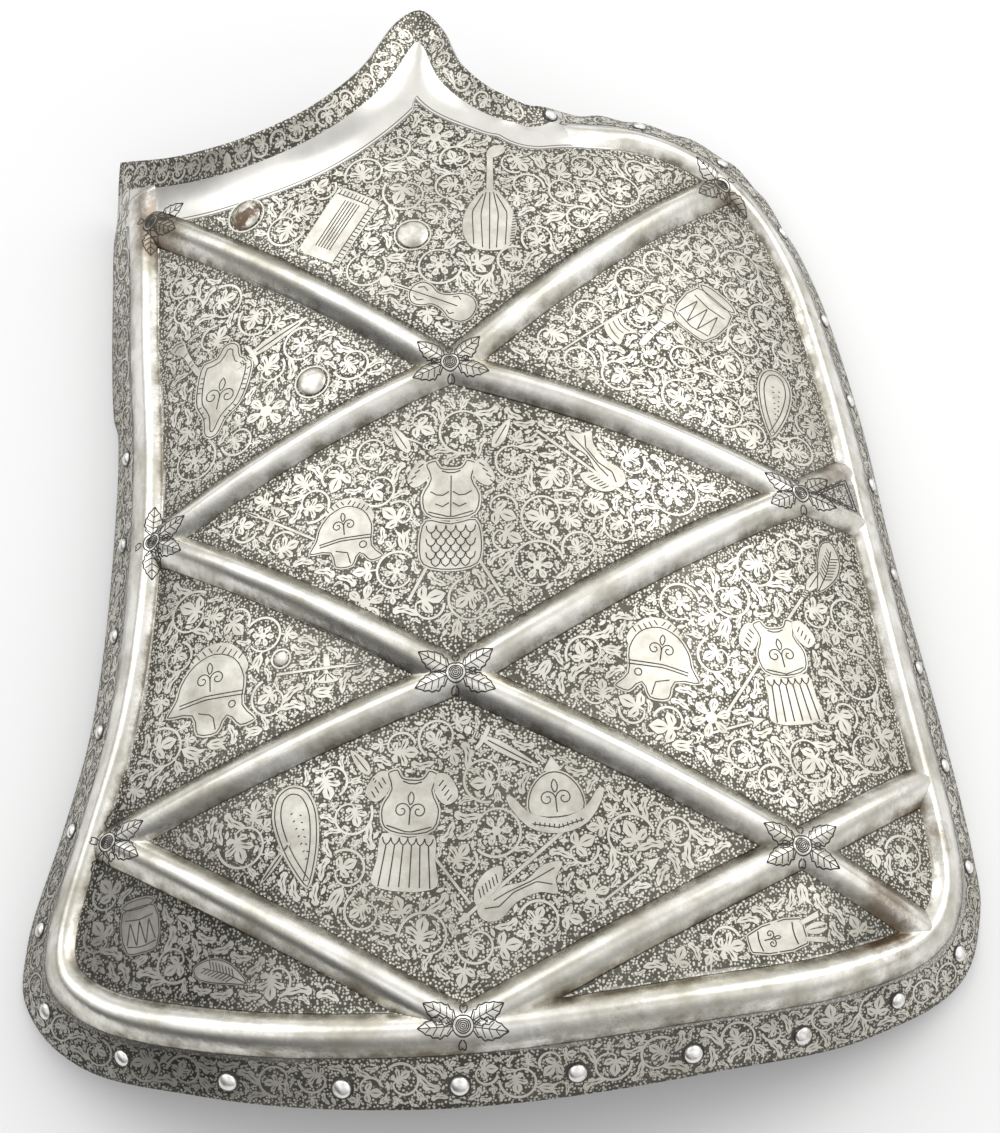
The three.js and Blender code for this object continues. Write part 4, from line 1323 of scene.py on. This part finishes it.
def trophyStrokes(form):  # all dark strokes of a trophy, in its own millimetres
    strokes = [*form.get("lines", ())]
    for pair in form.get("pairs", ()):
        strokes += [pair, [(-a, b) for a, b in pair]]
    for ax, ay, bx, by, dx, dy, count in form.get("ticks", ()):
        for s in np.linspace(0, 1, count):
            start = np.array([ax + s * (bx - ax), ay + s * (by - ay)])
            strokes.append([start, start + (dx, dy)])
    if "scroll" in form:
        *place, length = form["scroll"]
        strokes += [line * length + place for line in scrollLines()]
    for half, high, low, wide in form.get("scales", ()):
        for row, b in enumerate(np.arange(high, low, -0.72 * wide)):
            for a in np.arange(-half + (row % 2) * wide / 2, half - 0.6 * wide, wide):
                strokes.append([(a + u * wide, b - v * wide) for u, v in scaleArc])
    return strokes


def drawTrophy(tray, bed, name, x, y, turn, size, flip=False):
    form = trophyForms[name]
    turn = math.radians(turn)

    def pose(points, scale):
        return turnTo(np.asarray(points, float) * scale * (-1 if flip else 1, 1), x, y, turn)

    outlines = [[*half, *((-a, b) for a, b in half[::-1] if a != 0)] for half in form.get("halves", ())]
    outlines += list(form.get("plates", ()))
    corners = np.vstack(outlines)
    while size > trophyForm["least"]:  # drawn smaller until it stands clear of the ribs
        if sample(roomInPanels, *pose(corners, size).T).min() >= trophyForm["clear"]:
            break
        size *= trophyForm["shrink"]
    rims = form.get("rims", ())
    for k, outline in enumerate(outlines):
        placed = pose(rounded(outline) if len(outline) > 4 else outline, size)
        top = etchForm["lift"] + trophyForm["overlap"] * k
        put(tray, *tabletForm(placed, top))
        low, high = placed.min(0) - 1, placed.max(0) + 1
        px, py = flatGrid(*(np.arange(low[axis], high[axis], trophyForm["bedStep"]) for axis in (0, 1)))
        inside = insideOutline(placed, px, py)
        take(bed, px[inside], py[inside])
        for depth in rims if len(outlines) == 1 else rims[k:k + 1]:
            if depth:
                darkStroke(tray, setIn(placed, depth * size), top)
    for stroke in trophyStrokes(form):
        step = trophyForm["corner" if len(stroke) > 3 else "straight"]
        darkStroke(tray, finer(pose(stroke, size), step), top)
    if "heart" in form:
        *place, reach = form["heart"]
        darkStroke(tray, ringLine(*pose([place], size)[0], reach, 12), top)


# the panels between the ribs
panelSeeds = {
    "neck": (-31, 140),
    "leftUpper": (-124, 72),
    "rightUpper": (85, 95),
    "centre": (-18, -10),
    "leftLower": (-122, -86),
    "right": (110, -80),
    "lower": (-22, -162),
    "bottomLeft": (-140, -203),
    "bottomRight": (110, -197),
    "rightSmall": (171, -158),
    "fork": (162, 13),
}
panelForm = dict(ribMargin=2.6, neckMargin=4.2, flatRim=2, headMargin=1.8, deepest=30, ringShare=0.85,
                 reaches=((15, 0.14), (12.5, 0.18), (10, 0.2), (8, 0.22)))
besideBorder = mapSide["away"] - mapSide["band"] - 2 * mapSide["half"] - panelForm["flatRim"]
besideRibs = np.minimum(mapRib - ribForm["half"], besideBorder) - panelForm["ribMargin"]
besideNeck = mapNeck["away"] - mapNeck["band"] - panelForm["neckMargin"]
roomInPanels = np.minimum(besideRibs, besideNeck).reshape(gridX.shape)


def floodPanel(seed):  # map places joined to the seed without crossing a rib
    start = (int(seed[1] - mapY[0]), int(seed[0] - mapX[0]))
    reached = np.zeros(roomInPanels.shape, bool)
    reached[start] = True
    waiting = deque([start])
    while waiting:
        j, i = waiting.popleft()
        for place in ((j + 1, i), (j - 1, i), (j, i + 1), (j, i - 1)):
            if not reached[place] and roomInPanels[place] > 0:
                reached[place] = True
                waiting.append(place)
    return reached


def bedIn(reached):  # the free cells of one panel
    j, i = np.nonzero(reached)
    x = np.arange(mapX[i.min()] - 2, mapX[i.max()] + 2, etchForm["cell"])
    y = np.arange(mapY[j.min()] - 2, mapY[j.max()] + 2, etchForm["cell"])
    px, py = flatGrid(x, y)
    room = np.where(sample(reached.astype(float), px, py) > 0.6, sample(roomInPanels, px, py), -1)
    for _, fx, fy, head, _ in fasteners:
        room = np.minimum(room, np.hypot(px - fx, py - fy) - head - panelForm["headMargin"])
    return newBed(x, y, room.reshape(len(y), len(x)))


def ringRoom(bed):  # room left for scrolls beside the trophies
    free = ~bed["taken"]
    deep = np.zeros(free.shape)
    while free.any() and deep.max() < panelForm["deepest"]:
        deep += free
        free = shrunk(free)
    bed["room"] = np.minimum(bed["room"], deep * etchForm["cell"] * panelForm["ringShare"])


def makePanels():
    for k, (name, seed) in enumerate(panelSeeds.items()):
        dice = np.random.default_rng(100 + k)
        reached = floodPanel(seed)
        bed = bedIn(reached)
        tray = newTray()
        for row in trophies.get(name, ()):
            drawTrophy(tray, bed, *row)
        if tray["count"]:
            trayPiece(f"trophies_{name}", tray, layOnPanel, trophySteels)
        tray = newTray()
        for x, y, head, _ in studs.values():
            if sample(reached.astype(float), np.array([x]), np.array([y]))[0] > 0.5:
                ribbon(tray, ringLine(x, y, head + etchForm["ringGap"]), etchForm["ringWide"])
        for x, y, reach in flowers.get(name, ()):
            growFlower(tray, bed, x, y, reach, 0.3)
        ringRoom(bed)
        growFoliage(tray, bed, panelForm["reaches"], dice)
        if tray["count"]:
            trayPiece(f"foliage_{name}", tray, layOnPanel, leafSteels)


# the scroll bands along the flange and the neck
bandForm = dict(rimMargin=1.2, rootMargin=3.0, reaches=((9.5, 0.35), (8.0, 0.3), (6.0, 0.3)),
                neckReaches=((4.7, 0.7),), neckWidth=11.2, neckRim=0.8, neckRoot=0.6, peakClear=13,
                endMargin=4, neckEnd=3, ringWide=1.1, ringGap=0.3, ringLift=0.1)


def smoothWay(line, along, window=9):  # places of an edge with the way inwards evened out over a window
    at = walk(line, along)
    around = [walk(line, along + d) for d in np.linspace(-window, window, 7)]
    inX, inY = (np.mean([near[name] for near in around], axis=0) for name in ("inX", "inY"))
    length = np.hypot(inX, inY)
    at["inX"], at["inY"] = inX / length, inY / length
    return at


def flangeWidth(at):  # true width of the sloping flange
    root = arch(at["x"] + at["band"] * at["inX"], at["y"] + at["band"] * at["inY"])
    return np.hypot(at["band"], root - at["rim"]), root


def layOnFlange(points):
    at = smoothWay(sideEdge, points[:, 0])
    width, root = flangeWidth(at)
    depth = points[:, 1] / width * at["band"]
    x, y = at["x"] + depth * at["inX"], at["y"] + depth * at["inY"]
    z = sheetHeight(x, y)[0]
    flat, steep = at["band"] / width, (root - at["rim"]) / width
    normal = np.column_stack([-at["inX"] * steep, -at["inY"] * steep, flat])
    return np.column_stack([x, y, z]) + points[:, 2:3] * normal


def makeFlangeBand():
    dice = np.random.default_rng(300)
    length = sideEdge["along"][-1]
    along = np.arange(0, length, etchForm["cell"])
    width = flangeWidth(smoothWay(sideEdge, along))[0]
    across = np.arange(-1, width.max() + 1, etchForm["cell"])
    s, a = np.meshgrid(along, across)
    room = np.minimum(a - bandForm["rimMargin"], width[None, :] - a - bandForm["rootMargin"])
    room = np.minimum(room, np.minimum(s, length - s) - bandForm["endMargin"])
    tray = newTray()
    for _, at, run in rivetStations():
        middle = run["seat"] * np.interp(at, along, width)
        room = np.minimum(room, np.hypot(s - at, a - middle) - run["head"] - bandForm["ringWide"])
        # a dark ring round the foot of each rivet's head on the flange
        ring = ringLine(at, middle, run["head"] + bandForm["ringGap"])
        ribbon(tray, ring, bandForm["ringWide"], lift=bandForm["ringLift"], metal=1)
    growFoliage(tray, newBed(along, across, room), bandForm["reaches"], dice)
    trayPiece("foliage_flange", tray, layOnFlange, leafSteels)


def layOnNeck(points):
    at = smoothWay(neckEdge, points[:, 0], 5)
    x, y = at["x"] + points[:, 1] * at["inX"], at["y"] + points[:, 1] * at["inY"]
    return layOnPanel(np.column_stack([x, y, points[:, 2]]))


def makeNeckBand():
    dice = np.random.default_rng(301)
    length = neckEdge["along"][-1]
    peak = alongAt(neckEdge, neckRows, "peak tip")
    along = np.arange(0, length, etchForm["cell"])
    across = np.arange(-1, bandForm["neckWidth"] + 1, etchForm["cell"])
    s, a = np.meshgrid(along, across)
    room = np.minimum(a - bandForm["neckRim"], bandForm["neckWidth"] - bandForm["neckRoot"] - a)
    room = np.minimum(room, np.minimum(s, length - s) - bandForm["neckEnd"])
    room = np.minimum(room, np.abs(s - peak) - bandForm["peakClear"])
    tray = newTray()
    growFoliage(tray, newBed(along, across, room), bandForm["neckReaches"], dice)
    trayPiece("foliage_neck_band", tray, layOnNeck, leafSteels)


makePanels()
makeFlangeBand()
makeNeckBand()


# rosettes engraved where the ribs meet: a serrated leaf along each rib, hearts between, a ring on top
rosetteForm = dict(leaf=14.5, wide=4.8, start=4.4, midrib=0.85, veinBack=0.14, veinReach=0.75, thin=0.4,
                   rings=(4.4, 3.0, 2.2, 1.4, 0.6), line=0.55, lift=0.12, step=0.8,
                   heartFrom=5.4, heartLong=4.8, heartWide=3.0, heartGap=0.9,
                   webShift=(0.6, 0.3), webLines=(0.66, 0.52))
webLeaves = (  # form, x, y, way and size, from the middle of the web
    ("trefoil", -2.6, -0.6, 0.3, 4.2), ("comma", 2.0, 0.6, 1.2, 4.0), ("comma", 2.6, -0.8, -1.0, 3.6))
rosetteAt = {  # the ways of leaves besides those along the lattice ribs
    "topLeft": (0.35, -1.5), "topRight": (-0.8, 2.35), "upper": (), "leftUpper": (1.57, -1.5), "right": (),
    "lower": (), "leftLower": (1.4, -1.9), "rightLower": (), "hem": (-0.12, 3.2),
}
serrated = ((0, 0.3), (0.16, 0.80), (0.22, 0.66), (0.36, 1.0), (0.42, 0.82), (0.56, 0.86), (0.62, 0.64),
            (0.76, 0.56), (0.82, 0.36), (1, 0))
heartHalf = ((0, 0.1), (0.3, 0.5), (0.7, 0.5), (0.75, 0.2), (0.6, 0))


def layOnRibs(points):
    x, y = points[:, 0], points[:, 1]
    z, side, _ = sheetHeight(x, y)
    return np.column_stack([x, y, z + ribRise(x, y, side) + points[:, 2]])


def engrave(tray, line, wide=None):
    line = finer(line, rosetteForm["step"])
    ribbon(tray, line, wide or rosetteForm["line"], lift=rosetteForm["lift"], metal=1)


def bothSides(half):
    return [*half, *((a, -b) for a, b in half[-2::-1])]


def leafLines():  # outline and veins of a rosette's leaf, along x
    form = rosetteForm
    leaf = [(form["start"] + form["leaf"] * a, form["wide"] * b) for a, b in serrated]
    veins = [[(form["start"], 0), (form["start"] + form["midrib"] * form["leaf"], 0)]]
    for a, b in leaf[1::2]:
        root = (a - form["veinBack"] * form["leaf"], 0)
        veins += [[root, (a, side * form["veinReach"] * b)] for side in (1, -1)]
    return bothSides(leaf), veins


def ribWays(name):  # the ways in which the lattice ribs leave a junction
    x, y = junctions[name]
    others = [junctions[end if name == start else start] for start, end in ribs if name in (start, end)]
    return [math.atan2(b - y, a - x) for a, b in others]


def makeRosettes():
    form = rosetteForm
    tray = newTray()
    leaf, veins = leafLines()
    half = [(form["heartFrom"] + form["heartLong"] * a, form["heartWide"] * b) for a, b in heartHalf]
    heart = bothSides(half)
    for name, more in rosetteAt.items():
        x, y = junctions[name]
        ways = sorted(way % (2 * math.pi) for way in [*more, *ribWays(name)])
        for way in ways:
            engrave(tray, turnTo(leaf, x, y, way))
            for vein in veins:
                engrave(tray, turnTo(vein, x, y, way), form["thin"])
        for way, after in zip(ways, [*ways[1:], ways[0] + 2 * math.pi]):
            if after - way > form["heartGap"]:
                engrave(tray, turnTo(heart, x, y, (way + after) / 2))
        for reach in form["rings"]:
            engrave(tray, ringLine(x, y, reach, 24))
    corners = np.array(forkWeb, float)
    middle = corners.mean(0) + form["webShift"]
    for share in form["webLines"]:
        outline = middle + share * (corners - corners.mean(0))
        engrave(tray, np.vstack([outline, outline[:1]]))
    for name, x, y, way, size in webLeaves:
        stamp(tray, name, middle[0] + x, middle[1] + y, way, size)
    trayPiece("rosettes", tray, layOnRibs, rosetteSteels)


makeRosettes()


# floor, light and camera
stageLook = dict(floor=(0.76, 0.76, 0.76), floorRough=0.9, floorHalf=2.5, world=1.32, aim=(0, 0, 0.05),
                 sky=((0.0, 0.45), (0.2, 0.77), (0.5, 1.0), (0.84, 0.95), (0.95, 0.74), (1.0, 0.68)))
shadeWays = {  # darker ways of the world: where the shade starts, where it is full, and what is left
    (-0.8, -0.55, -0.25): (0.40, 0.85, 0.16),
    (0.7, -0.65, -0.25): (0.55, 0.9, 0.88),
    (0, -0.95, 0.31): (0.6, 0.95, 0.5),
}


def makeFloor():
    bm = bmesh.new()
    bmesh.ops.create_grid(bm, x_segments=1, y_segments=1, size=stageLook["floorHalf"])
    mesh = bpy.data.meshes.new("floor")
    bm.to_mesh(mesh)
    bm.free()
    material, _, shader = newSurface("paper", 0)
    shader.inputs["Base Color"].default_value = (*stageLook["floor"], 1)
    shader.inputs["Roughness"].default_value = stageLook["floorRough"]
    mesh.materials.append(material)
    floor = bpy.data.objects.new("floor", mesh)
    scene.collection.objects.link(floor)


def makeWorld():
    world = bpy.data.worlds.new("studio")
    world.use_nodes = True
    scene.world = world
    tree = world.node_tree
    way = addNode(tree, "ShaderNodeTexCoord").outputs["Generated"]
    sky = ramp(tree, vectorMath(tree, "DOT_PRODUCT", way, (0, 0, 1)), *stageLook["sky"])
    for direction, (start, end, least) in shadeWays.items():
        shade = ramp(tree, vectorMath(tree, "DOT_PRODUCT", way, direction), (start, 1.0), (end, least))
        sky = blend(tree, 1.0, sky, shade, "MULTIPLY")
    back = tree.nodes["Background"]
    tree.links.new(sky, back.inputs["Color"])
    back.inputs["Strength"].default_value = stageLook["world"]


lights = {
    "keyRight": dict(place=(1.1, 0.75, 1.2), size=1.2, power=9, colour=(1.0, 0.99, 0.97)),
    "fillLeft": dict(place=(-1.1, 0.9, 1.3), size=1.5, power=7, colour=(0.98, 0.99, 1.0)),
}


def aim(item, target):
    item.rotation_euler = (Vector(target) - item.location).to_track_quat("-Z", "Y").to_euler()


def makeLights():
    for name, look in lights.items():
        lamp = bpy.data.lights.new(name, "AREA")
        lamp.size = look["size"]
        lamp.energy = look["power"]
        lamp.color = look["colour"]
        item = bpy.data.objects.new(name, lamp)
        item.location = look["place"]
        aim(item, stageLook["aim"])
        scene.collection.objects.link(item)


viewFrom = dict(place=(-0.002, -0.3484, 0.8491), target=(-0.002, -0.030, 0.061), lens=58.7, sensor=36)


def makeCamera():
    camera = bpy.data.objects.new("camera", bpy.data.cameras.new("camera"))
    camera.data.sensor_fit = "VERTICAL"
    camera.data.sensor_height = viewFrom["sensor"]
    camera.data.lens = viewFrom["lens"]
    camera.location = viewFrom["place"]
    aim(camera, viewFrom["target"])
    scene.collection.objects.link(camera)
    scene.camera = camera


makeFloor()
makeWorld()
makeLights()
makeCamera()
scene.view_settings.view_transform = "Standard"
print("stage set")
